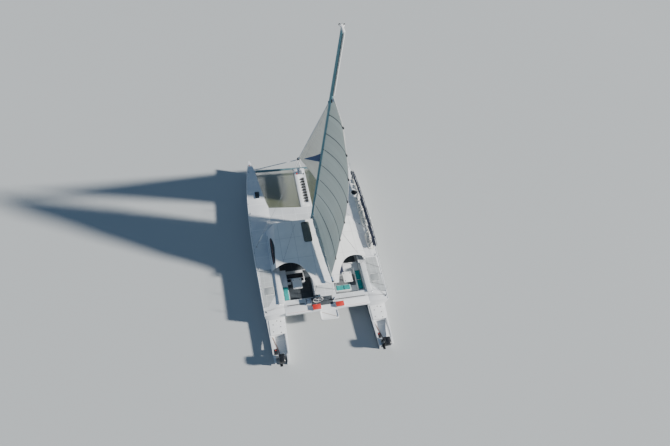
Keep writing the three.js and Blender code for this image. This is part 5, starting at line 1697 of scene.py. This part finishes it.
    def spare_sail(self) -> None:
        """A white sail dropped along the starboard deck, crumpled between the rail and the deck's middle."""
        cloth = sheeted("spare_sail", 16, 260, self.spare_point, 0.004)
        dress(cloth, SPARE_SAIL_CLOTH)
        hang(cloth)

    def fenders(self) -> None:
        """Two white fenders on short lanyards outside the starboard wires."""
        skin = [(0.02, 0.06), (0.03, 0.02), (0.06, 0), (0.1, -0.04), (0.105, -0.1), (0.105, -0.52),
                (0.1, -0.58), (0.06, -0.63), (0.03, -0.65), (0.02, -0.69)]
        for number, y in enumerate(self.fenders_y, 1):
            top = self.foot("starboard", 1, y) + Vector((0.115, 0, 0.42))
            fitting(f"fender_{number}", skin, upright(top), WHITE_ENAMEL, steps=28, smooth=60)
            line = [top + Vector((x, 0, z)) for x, z in ((0, 0.05), (-0.06, 0.16), (-0.112, 0.27))]
            tube(f"fender_lanyard_{number}", line, 0.008, NAVY_CANVAS)

    def build(self) -> None:
        """Makes both rails and what hangs on them."""
        for side, sign in SIDES:
            self.rail(side, sign)
        self.roll()
        self.spare_sail()
        self.fenders()


def stuffed(name: str, size: Triple, centre: Triple, swell: float = 0.016, voxel: float = 0.015,
            frames: int = 20, pressure: float = 4) -> Piece:
    """A crowned cushion: a rounded box blown up as cloth, flat where it rests.

    Args:
        name: the piece's name.
        size: the size that it fills once it is blown up.
        centre: its middle.
        swell: how far any point may move.
        voxel: mesh size of the cloth.
        frames: length of the simulation.
        pressure: how hard it is blown up.
    Returns:
        The cushion.
    """
    pad = block(name, tuple(s - 2 * swell for s in size), centre, 0.03, 4)
    floor = centre[2] - size[2] / 2
    pad.data.remesh_voxel_size = voxel
    pick(pad)
    bpy.ops.object.voxel_remesh()
    home = [vert.co.copy() for vert in pad.data.vertices]
    cloth = pad.modifiers.new("Cloth", "CLOTH")
    cloth.settings.use_pressure = True
    cloth.settings.uniform_pressure_force = pressure
    cloth.settings.effector_weights.gravity = 0
    cloth.point_cache.frame_start, cloth.point_cache.frame_end = 1, frames
    for frame in range(1, frames + 1):
        bpy.context.scene.frame_set(frame)
    bpy.ops.object.modifier_apply(modifier=cloth.name)
    bpy.context.scene.frame_set(1)
    for vert, start in zip(pad.data.vertices, home):
        step = vert.co - start
        if step.length > swell:
            vert.co = start + step * (swell / step.length)
        vert.co.z = max(vert.co.z - swell, floor)
    applied(pad, "SUBSURF", levels=1)
    return smoothed(pad, 60)


@dataclass
class Cockpit:
    """Cushions, tables, winches, floor mats and small fittings of the bridge deck."""

    seat_top: float = SEAT_Z + 0.0003
    thick: float = 0.0997
    table_at: tuple[float, float] = (2.25, -5.9)
    # name, node, finish, and each pad's centre x, centre y, width and length
    cushions: ClassVar[tuple[tuple[str, str, Finish, Rows], ...]] = (
        ("black_cushion", "cushion_port_black", BLACK_CLOTH,
         ((-2.3, -4.99, 1.5, 0.48), (-1.73, -5.402, 0.36, 0.336), (-2.87, -5.402, 0.36, 0.336))),
        ("port_teal_cushion", "cushion_port_teal", TEAL_CLOTH, ((-3.29, -6.6, 0.46, 1.3),)),
        ("navy_cushion", "cushion_starboard_navy", NAVY_CANVAS, ((1.905, -4.85, 0.46, 0.9),)),
        ("long_teal_cushion", "cushion_starboard_teal", TEAL_CLOTH,
         ((3.29, -5.676, 0.46, 0.948), (3.29, -6.626, 0.46, 0.948))),
        ("inner_teal_cushion", "cushion_inner_seat", TEAL_CLOTH,
         ((1.404, -6.72, 0.648, 0.52), (2.056, -6.72, 0.648, 0.52))))
    # centre x, centre y, width and length of each floor mat
    mats: ClassVar[Rows] = (
        (-1.97, -6.32, 2.12, 2.03), (-1.2, -4.8, 0.58, 1.0), (2.1, -5.87, 2.26, 1.08),
        (2.05, -7.16, 2.2, 0.34), (-1.9, -2.55, 3.2, 3.4), (1.9, -2.55, 3.2, 3.4))
    winches: ClassVar[tuple[Triple, ...]] = (
        (-4.02, -7.55, 1.9), (4.02, -7.55, 1.9), (-3.86, -3.6, 2.06), (3.86, -3.6, 2.06), (0.62, -7.75, 1.9))

    def upholster(self) -> None:
        """Every cushion, with a sewn welt round each pad."""
        for name, node, finish, pads in self.cushions:
            parts, welts = [], []
            for x, y, wide, length in pads:
                centre = (x, y, self.seat_top + self.thick / 2)
                parts.append(stuffed(name, (wide, length, self.thick), centre))
                ring = rounded_loop((x, y, self.seat_top + 0.07), (wide - 0.03, length - 0.03), 0.04, 4)
                welts.append(swept("welt", ring, 0.006, closed=True))
            group(name, parts, finish, stands_for=[node])
            group(f"{name}_welt", welts, finish)

    def winch(self, name: str, at: Triple) -> None:
        """A two-speed winch: skirt, waisted drum with grip ribs, self-tailing jaws and a handle socket."""
        profile = [(0.085, 0), (0.085, 0.02), (0.07, 0.028), (0.062, 0.04), (0.052, 0.07), (0.054, 0.1),
                   (0.066, 0.12), (0.078, 0.128), (0.078, 0.134), (0.06, 0.138), (0.078, 0.142),
                   (0.078, 0.15), (0.05, 0.156), (0.022, 0.157), (0.02, 0.15), (0.004, 0.149)]
        drum = turned(name, profile, upright(at), 32, 30)
        ribs = [swept(name, [(at[0] + r * cos(a), at[1] + r * sin(a), at[2] + z)
                             for r, z in ((0.06, 0.045), (0.052, 0.07), (0.055, 0.1))], 0.0035, 1)
                for a in (k * pi / 6 for k in range(12))]
        group(name, [drum, *ribs], STEEL)

    def tables(self) -> None:
        """The two tables with raised edges and cup rings."""
        cup = [(0.048, 0), (0.05, 0.004), (0.042, 0.005), (0.038, 0.001)]
        foot = [(0.13, 0), (0.13, 0.01), (0.06, 0.02), (0.055, 0.06)]
        for side, sign in SIDES:
            x, y = sign * self.table_at[0], self.table_at[1]
            bead(f"table_lip_{side}", (x, y, 1.944), (0.79, 0.97), 0.06, 0.008, WHITE_ENAMEL)
            rings = [turned("cup", cup, upright((x + sx * 0.28, y + sy * 0.36, 1.94)))
                     for sx in (-1, 1) for sy in (-1, 1)]
            group(f"cup_rings_{side}", rings, STEEL)
            fitting(f"table_foot_{side}", foot, upright((x, y, FLOOR_Z)), STEEL, steps=28)

    def build(self) -> None:
        """Fits the cockpits out."""
        self.upholster()
        self.tables()
        for number, (x, y, wide, length) in enumerate(self.mats, 1):
            # mats to port take the darker grit, which is painted shade
            slab(f"floor_mat_{number}", (wide, length, MAT), (x, y, FLOOR_Z + MAT / 2),
                 FLOOR_GRIT if x > 0 else PORT_FLOOR_SHADE_GRIT, edge=0.005)
        for number, at in enumerate(self.winches, 1):
            self.winch(f"winch_{number}", at)


@dataclass
class Helm:
    """Wheel, instruments, throttles and seat of the steering position."""

    axis: Triple = (-0.85, -7.9, 2.48)
    tilt: float = 3.0
    rim: float = 0.42
    levers_x: tuple[float, float] = (-1.06, -1.0)
    seat_at: tuple[float, float] = (-1.61, -7.79)
    # how far forward of the seat's middle, and how high, each bend of its piping is
    piping: ClassVar[Rows] = (
        (-0.27, 2.12), (-0.262, 2.25), (-0.2, 2.279), (0.2, 2.279), (0.262, 2.25), (0.27, 2.12))

    def wheel(self) -> None:
        """The wheel with its king spoke's grip and its hub nut."""
        node, lean = "helm_wheel", radians(self.tilt)
        shell(node, 0.003, 2, WHITE_ENAMEL, node)
        frame = aimed(self.axis, (0, -cos(lean), sin(lean)))
        grip = [frame @ Vector((self.rim * cos(a), self.rim * sin(a), 0))
                for a in (radians(55 + 7 * k) for k in range(11))]
        tube("wheel_king_grip", grip, 0.0235, BLACK_CLOTH, node, 3)
        hub = [(0.045, 0.0), (0.045, 0.03), (0.03, 0.045), (0.012, 0.05)]
        fitting("wheel_hub_nut", hub, frame, STEEL, node, 6, 20)

    def console(self) -> None:
        """The dash with three dials, the compass, and the throttles on their box."""
        middle = self.axis[0]
        dash = block("helm_dash", (0.44, 0.02, 0.2), (0, 0, 0), 0.012, 3)
        lean = upright((middle, -7.675, 2.36)) @ Matrix.Rotation(radians(-7), 4, "X")
        dress(moved(dash, lean), MOTOR_BLACK)
        dial = [(0.045, 0), (0.045, 0.012), (0.038, 0.014), (0.036, 0.008)]
        dials = [turned("dial", dial, aimed((middle + x, -7.686, 2.37), (0, -1, 0.12)))
                 for x in (-0.14, 0, 0.14)]
        group("helm_dials", dials, STEEL)
        dome = [(0.07, 0), (0.07, 0.02), (0.06, 0.03), (0.055, 0.055), (0.035, 0.078), (0.008, 0.085)]
        fitting("helm_compass", dome, upright((middle, -7.54, 2.54)), SMOKED, steps=28, smooth=60)
        knob = [(0.008, -0.02), (0.02, -0.01), (0.02, 0.01), (0.008, 0.02)]
        levers = []
        for x in self.levers_x:
            bends = [(x, -7.55, 2.53), (x, -7.56, 2.6), (x, -7.58, 2.66)]
            levers.append(swept("lever", bends, 0.009, smooth=4))
            levers.append(turned("knob", knob, aimed(bends[-1], (1, 0, 0)), 16))
        group("throttle_levers", levers, STEEL)
        slab("throttle_box", (0.14, 0.12, 0.03), (-1.03, -7.55, 2.55), MOTOR_BLACK, edge=0.01)

    def build(self) -> None:
        """Makes the steering position."""
        self.wheel()
        self.console()
        # the helm mat takes the darker port grit, which is painted shade
        slab("helm_mat", (1.9, 0.8, MAT), (-0.45, -7.8, DECK_Z + MAT / 2), PORT_FLOOR_SHADE_GRIT, edge=0.005)
        x, y = self.seat_at
        slab("helm_seat_base", (0.44, 0.48, 0.2), (x, y, 2.0), WHITE_MOULDING, edge=0.03, rounds=3)
        seat = stuffed("helm_seat_cushion", (0.51, 0.55, 0.18), (x, y, 2.19))
        dress(seat, SEAT_CLOTH, "boat", ["helm_seat"])
        straps = [swept("strap", [(x + s * 0.16, y + along, z) for along, z in self.piping], 0.006)
                  for s in (-1, 1)]
        group("helm_seat_piping", straps, BLACK_CLOTH)


@dataclass
class AftGear:
    """Cool boxes, tray, traveller track and the lines along the aft beam."""

    box_y: float = -8.38
    box_x: float = 1.0
    track_y: float = -7.84
    tracks: ClassVar[Rows] = ((-3.4, -1.92), (-1.3, 3.4))
    # each bend of a cool box's grip: out from its side, forward of its middle, and its height
    grip: ClassVar[tuple[Triple, ...]] = (
        (0, -0.1, 2.06), (0.03, -0.09, 2.04), (0.034, 0, 2.035), (0.03, 0.09, 2.04), (0, 0.1, 2.06))

    def cool_box(self, side: str, sign: int) -> None:
        """A white box with side grips and a red lid with its latch."""
        x, y = sign * self.box_x, self.box_y
        box, lid = f"cool_box_{side}", f"cool_box_lid_{side}"
        shell(box, 0.02, 3, WHITE_ENAMEL)
        shell(lid, 0.014, 3, LID_RED, lid)
        slab(f"{lid}_panel", (0.52, 0.3, 0.008), (x, y, 2.171), LID_RED, lid, 0.004)
        slab(f"cool_box_latch_{side}", (0.09, 0.014, 0.07), (x, y + 0.236, 2.135), WHITE_ENAMEL, lid, 0.005)
        grips = [swept("grip", [(x + s * 0.345 + s * out, y + along, z) for out, along, z in self.grip],
                       0.009, smooth=4) for s in (-1, 1)]
        group(f"cool_box_grips_{side}", grips, STEEL)

    def beam_lines(self) -> None:
        """The traveller's dark track with its car, its two control lines and the pink line behind."""
        y = self.track_y
        for number, (low, high) in enumerate(self.tracks, 1):
            slab(f"traveller_track_{number}", (high - low, 0.05, 0.028), ((low + high) / 2, y, 1.914),
                 BEAM_ALLOY_DARK, edge=0.006)
        slab("traveller_car", (0.16, 0.09, 0.05), (CAR_X, y, 1.948), MOTOR_BLACK, edge=0.014, rounds=3)
        for side, sign in SIDES:
            start = -1.95 if sign < 0 else 0.5
            for name, off in (("fore", 0.05), ("aft", -0.05)):
                line = [(start, y + off, 1.91), (sign * 3.4, y + off, 1.91),
                        (sign * 4.3, y + off - 0.08, 1.908), (sign * 5.14, -8.05, 1.93)]
                tube(f"traveller_line_{name}_{side}", line, 0.009, GREY_ROPE)
            run = [(sign * 1.5, -8.5, 1.907), (sign * 2.5, -8.53, 1.907), (sign * 3.5, -8.5, 1.907)]
            tube(f"pink_line_{side}", run, 0.009, PINK_ROPE, smooth=6)

    def tray(self) -> None:
        """The tray's rim bead and the boat hook that lies across it."""
        bead("tray_rim", (0, -9.0303, 1.781), (1.54, 0.84), 0.13, 0.012, WHITE_MOULDING)
        start, end = Vector((-0.58, -8.76, 1.735)), Vector((0.56, -9.28, 1.735))
        tube("boat_hook_pole", [start, end], 0.014, POLE_WOOD, rounds=3)
        tip = [end + Vector((x, y, 0)) for x, y in ((0, 0), (0.03, -0.02), (0.05, 0.01), (0.02, 0.03))]
        tube("boat_hook_tip", tip, 0.009, STEEL, smooth=4)

    def build(self) -> None:
        """Makes everything on the aft beam."""
        for side, sign in SIDES:
            self.cool_box(side, sign)
        self.beam_lines()
        self.tray()


@dataclass
class Outboards:
    """The two outboard motors with brackets, propellers and fuel gear, and the rudders."""

    steer_y: float = -11.84
    propeller_y: float = -12.14
    propeller_z: float = -0.33
    # places along the fuel pipe and of its clips, from the motor's axis and in y and z
    pipe: ClassVar[tuple[Triple, ...]] = (
        (0.46, -9.82, 0.5), (0.4, -10.0, 0.477), (0.27, -10.5, 0.477), (0.14, -10.95, 0.477),
        (0.08, -11.25, 0.48), (0.06, -11.37, 0.53), (0.06, -11.41, 0.62))
    clips: ClassVar[Rows] = ((0.36, -10.15), (0.22, -10.68), (0.1, -11.15))
    clip: ClassVar[Rows] = (
        (-0.05, 0.452), (-0.026, 0.456), (-0.02, 0.497), (0, 0.507), (0.02, 0.497), (0.026, 0.456),
        (0.05, 0.452))

    def cowl(self, side: str, x: float, body: str) -> None:
        """Seam, vents, handle and stripe of the engine cover."""
        y = self.steer_y
        bead(f"cowl_seam_{side}", (x, y - 0.1575, 1.34), (0.466, 0.686), 0.1, 0.007, BLACK_RUBBER, body)
        slots = [block("slot", (0.012, 0.2, 0.014), (x + s * 0.235, y - 0.2, 1.42 + 0.03 * k), 0.004)
                 for s in (-1, 1) for k in range(3)]
        group(f"cowl_vents_{side}", slots, BLACK_RUBBER, body)
        grip = [(x + s, y - back, z) for s, back, z in (
            (-0.09, 0.42, 1.655), (-0.07, 0.45, 1.69), (0.07, 0.45, 1.69), (0.09, 0.42, 1.655))]
        tube(f"cowl_handle_{side}", grip, 0.014, BLACK_RUBBER, body, 3, smooth=5)
        stripe = [(x - 0.229, y + along, 1.585) for along in (-0.35, 0.02)]
        tube(f"cowl_stripe_{side}", stripe, 0.006, STEEL, body, 1)

    def fuel(self, side: str, x: float) -> None:
        """A tank by the transom and the brown pipe that runs along the floor in its clips."""
        slab(f"fuel_tank_{side}", (0.3, 0.46, 0.22), (x - 0.36, -11.1, 0.562), MOTOR_BLACK, "boat", 0.04, 4)
        cap = [(0.04, 0), (0.04, 0.02), (0.034, 0.026), (0.012, 0.03)]
        fitting(f"fuel_cap_{side}", cap, upright((x - 0.36, -11.0, 0.672)), LID_RED, steps=18)
        route = [(x - inward, y, z) for inward, y, z in self.pipe]
        tube(f"fuel_pipe_{side}", route, 0.03, PIPE_BROWN, rounds=3, smooth=5)
        clips = [swept("clip", [(x - inward + across, y, z) for across, z in self.clip], 0.006, 1)
                 for inward, y in self.clips]
        group(f"pipe_clips_{side}", clips, STEEL)

    def propeller(self, side: str, x: float) -> None:
        """Blades and hub, with a castle nut."""
        node = f"propeller_{side}"
        shell(node, 0.003, 2, MOTOR_BLACK, node)
        axis = aimed((x, self.propeller_y, self.propeller_z), (0, -1, 0))
        fitting(f"{node}_nut", [(0.028, 0.058), (0.028, 0.08), (0.012, 0.09)], axis, STEEL, node, 6, 20)

    def build(self) -> None:
        """Makes both sides."""
        clamp = [(0.012, -0.05), (0.012, 0.03), (0.03, 0.034), (0.03, 0.05), (0.01, 0.055)]
        for side, sign in SIDES:
            x = sign * STERN_X
            shell(f"outboard_bracket_{side}", 0.006, 2, MOTOR_BLACK)
            clamps = [turned("clamp", clamp, aimed((x + s * 0.1, -11.39, 0.68), (0, 1, 0)), 16)
                      for s in (-1, 1)]
            group(f"clamp_screws_{side}", clamps, STEEL)
            shell(f"outboard_swivel_{side}", 0.006, 2, MOTOR_BLACK, f"outboard_swivel_{side}")
            shell(f"outboard_motor_{side}", 0.012, 3, MOTOR_BLACK, f"outboard_{side}")
            self.cowl(side, x, f"outboard_{side}")
            self.fuel(side, x)
            self.propeller(side, x)
            shell(f"rudder_{side}", 0.006, 2, WHITE_MOULDING, f"rudder_{side}")


@dataclass
class MastGear:
    """Fittings of the mast and its stays, and the lines that run from them."""

    sails: Sails = field(default_factory=Sails)
    spreader_z: float = 11.3
    spreader_reach: float = 1.3
    mast_half: tuple[float, float] = (0.13, 0.18)
    shroud_foot: Triple = (5.3, -1.8, 1.86)
    sheet_foot: Triple = (CAR_X, -7.84, 1.99)
    jib_lead: Triple = (4.62, -0.5, 1.96)
    bails: tuple[float, ...] = (2.2, 4.6, 6.7)
    # the eight corners of a spreader's section, as shares of its half depth and half height
    wedge: ClassVar[Rows] = (
        (-1, 0), (-0.6, -0.7), (0, -1), (0.6, -0.7), (1, 0), (0.5, 0.7), (0, 1), (-0.5, 0.7))
    # the corners of the grip strip on a side deck, at its inner and its outer edge
    grip_rows: ClassVar[tuple[Rows, Rows]] = (
        ((4.26, -4.2), (4.22, -5.47), (4.17, -6.63), (4.95, -7.7)),
        ((5.3, -4.2), (5.3, -5.47), (5.3, -6.63), (5.3, -7.7)))
    # paths of the painted shadows that the guard wire and two posts cast on the starboard side deck
    deck_paths: ClassVar[tuple[Rows, ...]] = (
        ((4.2, -3.7), (4.18, -5.47), (4.13, -6.67), (5.08, -7.99)),
        ((4.34, -4.77), (5.33, -5.32)), ((4.34, -6.72), (5.25, -7.12)))

    def spreader(self, side: str, sign: int) -> Piece:
        """A spreader wedge that narrows to its tip; its dark navy is painted shade."""
        sections = ((0.06, 0, 0.045, 0.33, 0.65, 0), (0.5, 0.02, 0.04, 0.23, 0.4, 0.02),
                    (self.spreader_reach + 0.01, 0.08, 0.025, 0.035, 0.035, 0.06))
        return lofted(f"spreader_{side}", [[
            raked((sign * x, y + a * half, self.spreader_z + up + (above if b > 0 else below) * b))
            for a, b in self.wedge] for x, y, half, below, above, up in sections])

    def spreaders(self) -> None:
        """Both spreaders on their collar in dark navy as painted shade, their white lower struts as painted
        highlight of their lit edges, and the diamond stays over their tips.
        """
        knob = [(0.012, -0.05), (0.03, -0.03), (0.036, 0), (0.03, 0.03), (0.012, 0.05)]
        wedges, stays, tips, struts = [], [], [], []
        for side, sign in SIDES:
            wedges.append(self.spreader(side, sign))
            tip = raked((sign * self.spreader_reach, 0.08, self.spreader_z + 0.06))
            stays += [swept("stay", [tip, raked((sign * 0.1, 0, z))], 0.009) for z in (HOUNDS_Z - 0.5, 5.2)]
            tips.append(turned("tip", knob, aimed(tip, (0, 0, 1)), 20, 60))
            struts.append(swept("strut", [raked((sign * 0.12, 0.02, self.spreader_z - 0.34)),
                                          raked((sign * 1.24, 0.07, self.spreader_z))], 0.028, 3))
        wide, deep = (half + 0.016 for half in self.mast_half)
        for up in (-0.3, 0.0, 0.3, 0.6):
            ring = [raked((wide * cos(a), deep * sin(a), self.spreader_z + up))
                    for a in (radians(-62 + 304 * k / 30) for k in range(31))]
            tips.append(swept("band", ring, 0.012))
        # the wedges' dark navy is painted shade, and the struts' white along their lower edges is painted
        # highlight
        group("spreader_wedges", wedges, SPREADER_SHADE_NAVY, stands_for=["spreaders"])
        group("diamond_stays", stays, STEEL)
        group("spreader_tips", tips, STEEL)
        group("spreader_painted_highlight_struts", struts, WHITE_ENAMEL)

    def masthead(self) -> None:
        """The white masthead with its sheaves, its two prongs with their end caps, and the wind sensor."""
        top = raked((0, -0.06, MASTHEAD_Z))
        slab("masthead_cap", (0.15, 0.76, 0.13), (top.x, top.y, top.z + 0.008), WHITE_ENAMEL, "boat",
             0.03, 3)
        light = [(0.03, -0.03), (0.04, -0.01), (0.04, 0.06), (0.012, 0.08)]
        prongs, lights = [], []
        for sign in (-1, 1):
            root, tip = Vector((0.02 * sign, 0.08, 0.02)), Vector((0.15 * sign, 0.3, 0.05))
            bend = top + (root + tip) / 2 + Vector((sign * 0.02, 0, 0))
            prongs.append(swept("prong", [top + root, bend, top + tip], 0.032, 3, smooth=5))
            lights.append(turned("light", light, upright(top + tip), 18))
        group("masthead_prongs", prongs, WHITE_ENAMEL)
        group("masthead_lights", lights, MOTOR_BLACK)
        sheave = [(0.02, -0.014), (0.055, -0.014), (0.045, 0), (0.055, 0.014), (0.02, 0.014)]
        sheaves = [turned("sheave", sheave, aimed((top.x, top.y + s * 0.34, top.z - 0.03), (1, 0, 0)))
                   for s in (-1, 1)]
        group("masthead_sheaves", sheaves, STEEL)
        arm = swept("arm", [(top.x, top.y + 0.3, top.z + 0.02), (top.x, top.y + 0.42, top.z + 0.03)], 0.008)
        cup = [(0.006, 0), (0.03, 0.012), (0.036, 0.03), (0.034, 0.03), (0.012, 0.006)]
        cups = [turned("cup", cup, aimed((top.x + 0.06 * cos(a), top.y + 0.42 + 0.06 * sin(a), top.z + 0.01),
                                         (-sin(a), cos(a), 0)), 14) for a in (0.3, 2.4, 4.5)]
        group("wind_sensor", [arm, *cups], MOTOR_BLACK)

    def fittings(self) -> None:
        """A white strip and a black line up the upper mast, painted as its sunlit face and its shaded edge;
        winches and halyards on the mast, and the screws and covers at the shrouds' feet.
        """
        # a white strip painted as the mast's sunlit face, and a black line painted as its shaded edge
        for name, x, y, radius, finish in (("mast_painted_highlight", 0.125, -0.135, 0.05, WHITE_ENAMEL),
                                           ("mast_painted_shade_line", 0.052, -0.178, 0.02, BLACK_RUBBER)):
            tube(name, [raked((x, y, z)) for z in (17.75, 20.0, 22.35)], radius, finish)
        drum = [(0.055, 0.0), (0.055, 0.02), (0.042, 0.03), (0.038, 0.08), (0.05, 0.1), (0.05, 0.115),
                (0.02, 0.12)]
        for number, (x, z) in enumerate(((0.125, 3.3), (-0.125, 3.3), (0.125, 2.8)), 1):
            way = (copysign(1, x), -0.25, 0)
            fitting(f"mast_winch_{number}", drum, aimed(raked((x, -0.03, z)), way), STEEL)
        for number, (x, finish) in enumerate(
                ((-0.07, WHITE_ROPE), (0.0, GREY_ROPE), (0.07, NAVY_CANVAS)), 1):
            line = [raked((x, 0.186 - abs(x) * 0.45, z)) for z in (2.6, 6, 10, 14, 17)]
            tube(f"mast_halyard_{number}", line, 0.0065, finish, rounds=1)
        screw = [(0.012, 0.55), (0.03, 0.58), (0.034, 0.62), (0.034, 0.95), (0.03, 0.99), (0.013, 1.05)]
        cover = [(0.03, 1.05), (0.032, 1.08), (0.032, 1.9), (0.02, 1.94)]
        x, y, z = self.shroud_foot
        for side, sign in SIDES:
            foot, head = Vector((sign * x, y, z)), raked((sign * 0.158, -0.05, HOUNDS_Z))
            stay = aimed(foot, head - foot)
            fitting(f"shroud_screw_{side}", screw, stay, STEEL, steps=18)
            fitting(f"shroud_cover_{side}", cover, stay, WHITE_ENAMEL, steps=18)

    @staticmethod
    def taut(name: str, start: Vector, end: Vector, steps: int, radius: float, finish: Finish, body: str,
             off: Sequence[float] = (0, 0, 0)) -> None:
        """A straight line from the boat to another body, drawn where both rest.

        Args:
            name: the piece's name.
            start: its end on the boat.
            end: its end on the other body.
            steps: its parts.
            radius: half its thickness.
            finish: its finish.
            body: the other body.
            off: how far it runs beside the line from start to end.
        """
        low, high = start + Vector(off), end + Vector(off)
        line = swept(name, [low.lerp(high, k / steps) for k in range(steps + 1)], radius)
        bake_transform(painted(line, finish), "boat", body, start=tuple(start), end=tuple(end))
        LOG.info("%s between boat and %s", name, body)

    def running_lines(self) -> None:
        """Main halyard, mainsheet and jib sheet, drawn to the boom and the jib where they rest, with their
        blocks.
        """
        head, top = self.sails.main_point(0.3, 0.995), raked((0, -0.36, MASTHEAD_Z - 0.03))
        self.taut("main_halyard", top, head, 16, 0.008, WHITE_ROPE, "boom")
        start, end = Vector(self.sheet_foot), swung((0, LUFF_AXIS_Y - 6.7, BOOM_Z - 0.12))
        for number, shift in enumerate((-0.03, 0.0, 0.03), 1):
            self.taut(f"mainsheet_{number}", start, end, 14, 0.007, WHITE_ROPE, "boom", (shift, 0, 0))
        for level, at, body in (("low", start + Vector((0, 0, 0.01)), "boat"), ("high", end, "boom")):
            fitting(f"mainsheet_{level}_block", pulley(0.045, 0.05), aimed(at, (1, 0, 0)), MOTOR_BLACK, body,
                    22, 50)
        clew, deck = self.sails.jib_point(1.0, 0.0), Vector(self.jib_lead)
        self.taut("jib_sheet", deck, clew, 24, 0.009, GREY_ROPE, "jib")
        fitting("jib_sheet_lead", pulley(0.04, 0.045), aimed(deck, (0.4, 1, 0)), MOTOR_BLACK, "boat", 22, 50)

    def deck_lines(self) -> None:
        """Grip strips on both side decks, and on the starboard one grey lines with black blocks, painted as
        shadows of the guard wire and of two posts.
        """
        for side, sign in SIDES:
            rings = [[Vector((sign * x, y, DECK_Z + up)) for (x, y), up in (
                (inner, -0.004), (outer, -0.004), (outer, 0.004), (inner, 0.004))]
                for inner, outer in zip(*self.grip_rows)]
            dress(lofted(f"side_deck_grip_{side}", rings), DECK_GREY)
        for number, path in enumerate(self.deck_paths, 1):
            # grey lines painted as shadows on the deck, with black blocks at their points
            tube(f"deck_line_{number}", [(x, y, DECK_Z + 0.045) for x, y in path], 0.01, GREY_ROPE)
            leads = [block("lead", (0.05, 0.06, 0.055), (x, y, DECK_Z + 0.028), 0.012) for x, y in path]
            group(f"deck_shadow_blocks_{number}", leads, MOTOR_BLACK)

    def boom_ends(self) -> None:
        """The boom's end cap and bails."""
        end = swung((0, LUFF_AXIS_Y - 6.85, BOOM_Z))
        way = swung((0, -2, BOOM_Z)) - swung((0, -1, BOOM_Z))
        cap = [(0.086, -0.03), (0.1, -0.03), (0.1, 0.0), (0.09, 0.01), (0.05, 0.014)]
        seat = aimed(end, way) @ Matrix.Diagonal((1, 1.18, 1, 1))
        fitting("boom_end_cap", cap, seat, MOTOR_BLACK, "boom", 28, 60)
        for number, behind in enumerate(self.bails, 1):
            ring = [swung((0.094 * cos(a), LUFF_AXIS_Y - behind, BOOM_Z + 0.114 * sin(a)))
                    for a in (pi * (1 + k / 12) for k in range(13))]
            tube(f"boom_bail_{number}", ring, 0.008, STEEL, "boom")

    def build(self) -> None:
        """Makes all fittings and lines."""
        self.spreaders()
        self.masthead()
        self.fittings()
        self.boom_ends()
        self.running_lines()
        self.deck_lines()


@dataclass
class CabinGlass:
    """Smoked panes in the coachroof's long side openings and in its four front ones."""

    middle_y: float = -2.7
    half: float = 1.345
    foot_x: float = 4.28
    top_x: float = 3.56
    front_y: float = -0.24
    front_x: tuple[float, ...] = (-2.35, -1.18, 1.18, 2.35)
    rail_y: tuple[float, ...] = (-0.9, -1.9, -2.9, -3.9)

    def wall(self, z: float) -> float:
        """How far out the side wall is at a height."""
        return self.foot_x + (self.top_x - self.foot_x) * (z - DECK_Z) / 1.4

    def side_point(self, sign: int, u: float, v: float, sink: float = 0.03) -> Vector:
        """A point of the lens-shaped side pane."""
        low = (1 - u) ** 2 * 2.35 + 2 * u * (1 - u) * 2.15 + u * u * 2.35
        high = (1 - u) ** 2 * 2.56 + 2 * u * (1 - u) * 3.15 + u * u * 2.56
        z = low + (high - low) * v
        reach = self.half - 0.08 * v
        return Vector((sign * (self.wall(z) - sink), self.middle_y + reach * (2 * u - 1), z))

    def front_point(self, middle: float, u: float, v: float) -> Vector:
        """A point of a front pane, within the sloping front wall."""
        z = 2.305 + 0.59 * v
        return Vector((middle + (u - 0.5) * 0.95, self.front_y - (z - DECK_Z) * 0.14 - 0.03, z))

    def build(self) -> None:
        """Makes the panes with their gaskets, and the grab lines and hand rails outside the side panes."""
        for side, sign in SIDES:
            dress(sheeted(f"side_pane_{side}", 28, 8, partial(self.side_point, sign), 0.01), SMOKED)
            ring = [self.side_point(sign, k / 24, 0, 0.004) for k in range(25)]
            ring += [self.side_point(sign, 1 - k / 24, 1, 0.004) for k in range(25)]
            tube(f"side_pane_gasket_{side}", ring, 0.014, BLACK_RUBBER, closed=True)
            line = [self.side_point(sign, 0.04 + 0.92 * k / 16, 0.42, -0.012) for k in range(17)]
            tube(f"grab_line_{side}", line, 0.012, PINK_ROPE)
            line = [Vector((sign * (self.wall(2.1) + 0.03), y, 2.12)) for y in self.rail_y]
            tube(f"side_hand_rail_{side}", line, 0.014, STEEL, rounds=3)
        for number, x in enumerate(self.front_x, 1):
            dress(sheeted(f"front_pane_{number}", 8, 6, partial(self.front_point, x), 0.01), SMOKED)
            corners = [self.front_point(x, u, v) + Vector((0, 0.028, 0))
                       for u, v in ((0, 0), (1, 0), (1, 1), (0, 1))]
            tube(f"front_pane_gasket_{number}", corners, 0.013, BLACK_RUBBER, closed=True)


def main() -> None:
    """Builds the catamaran, sub-assembly by sub-assembly."""
    logging.basicConfig(level=logging.INFO, format="%(name)s: %(message)s")
    studio = Studio()
    studio.camera()
    for kind in (HullPair, BareNodes, Sails, Canopy, Foredeck, HatchLids, GuardRails, Cockpit, Helm, AftGear,
                 Outboards, MastGear, CabinGlass):
        LOG.info("building %s", kind.__name__)
        kind().build()
    studio.build()


if __name__ == "__main__":
    main()
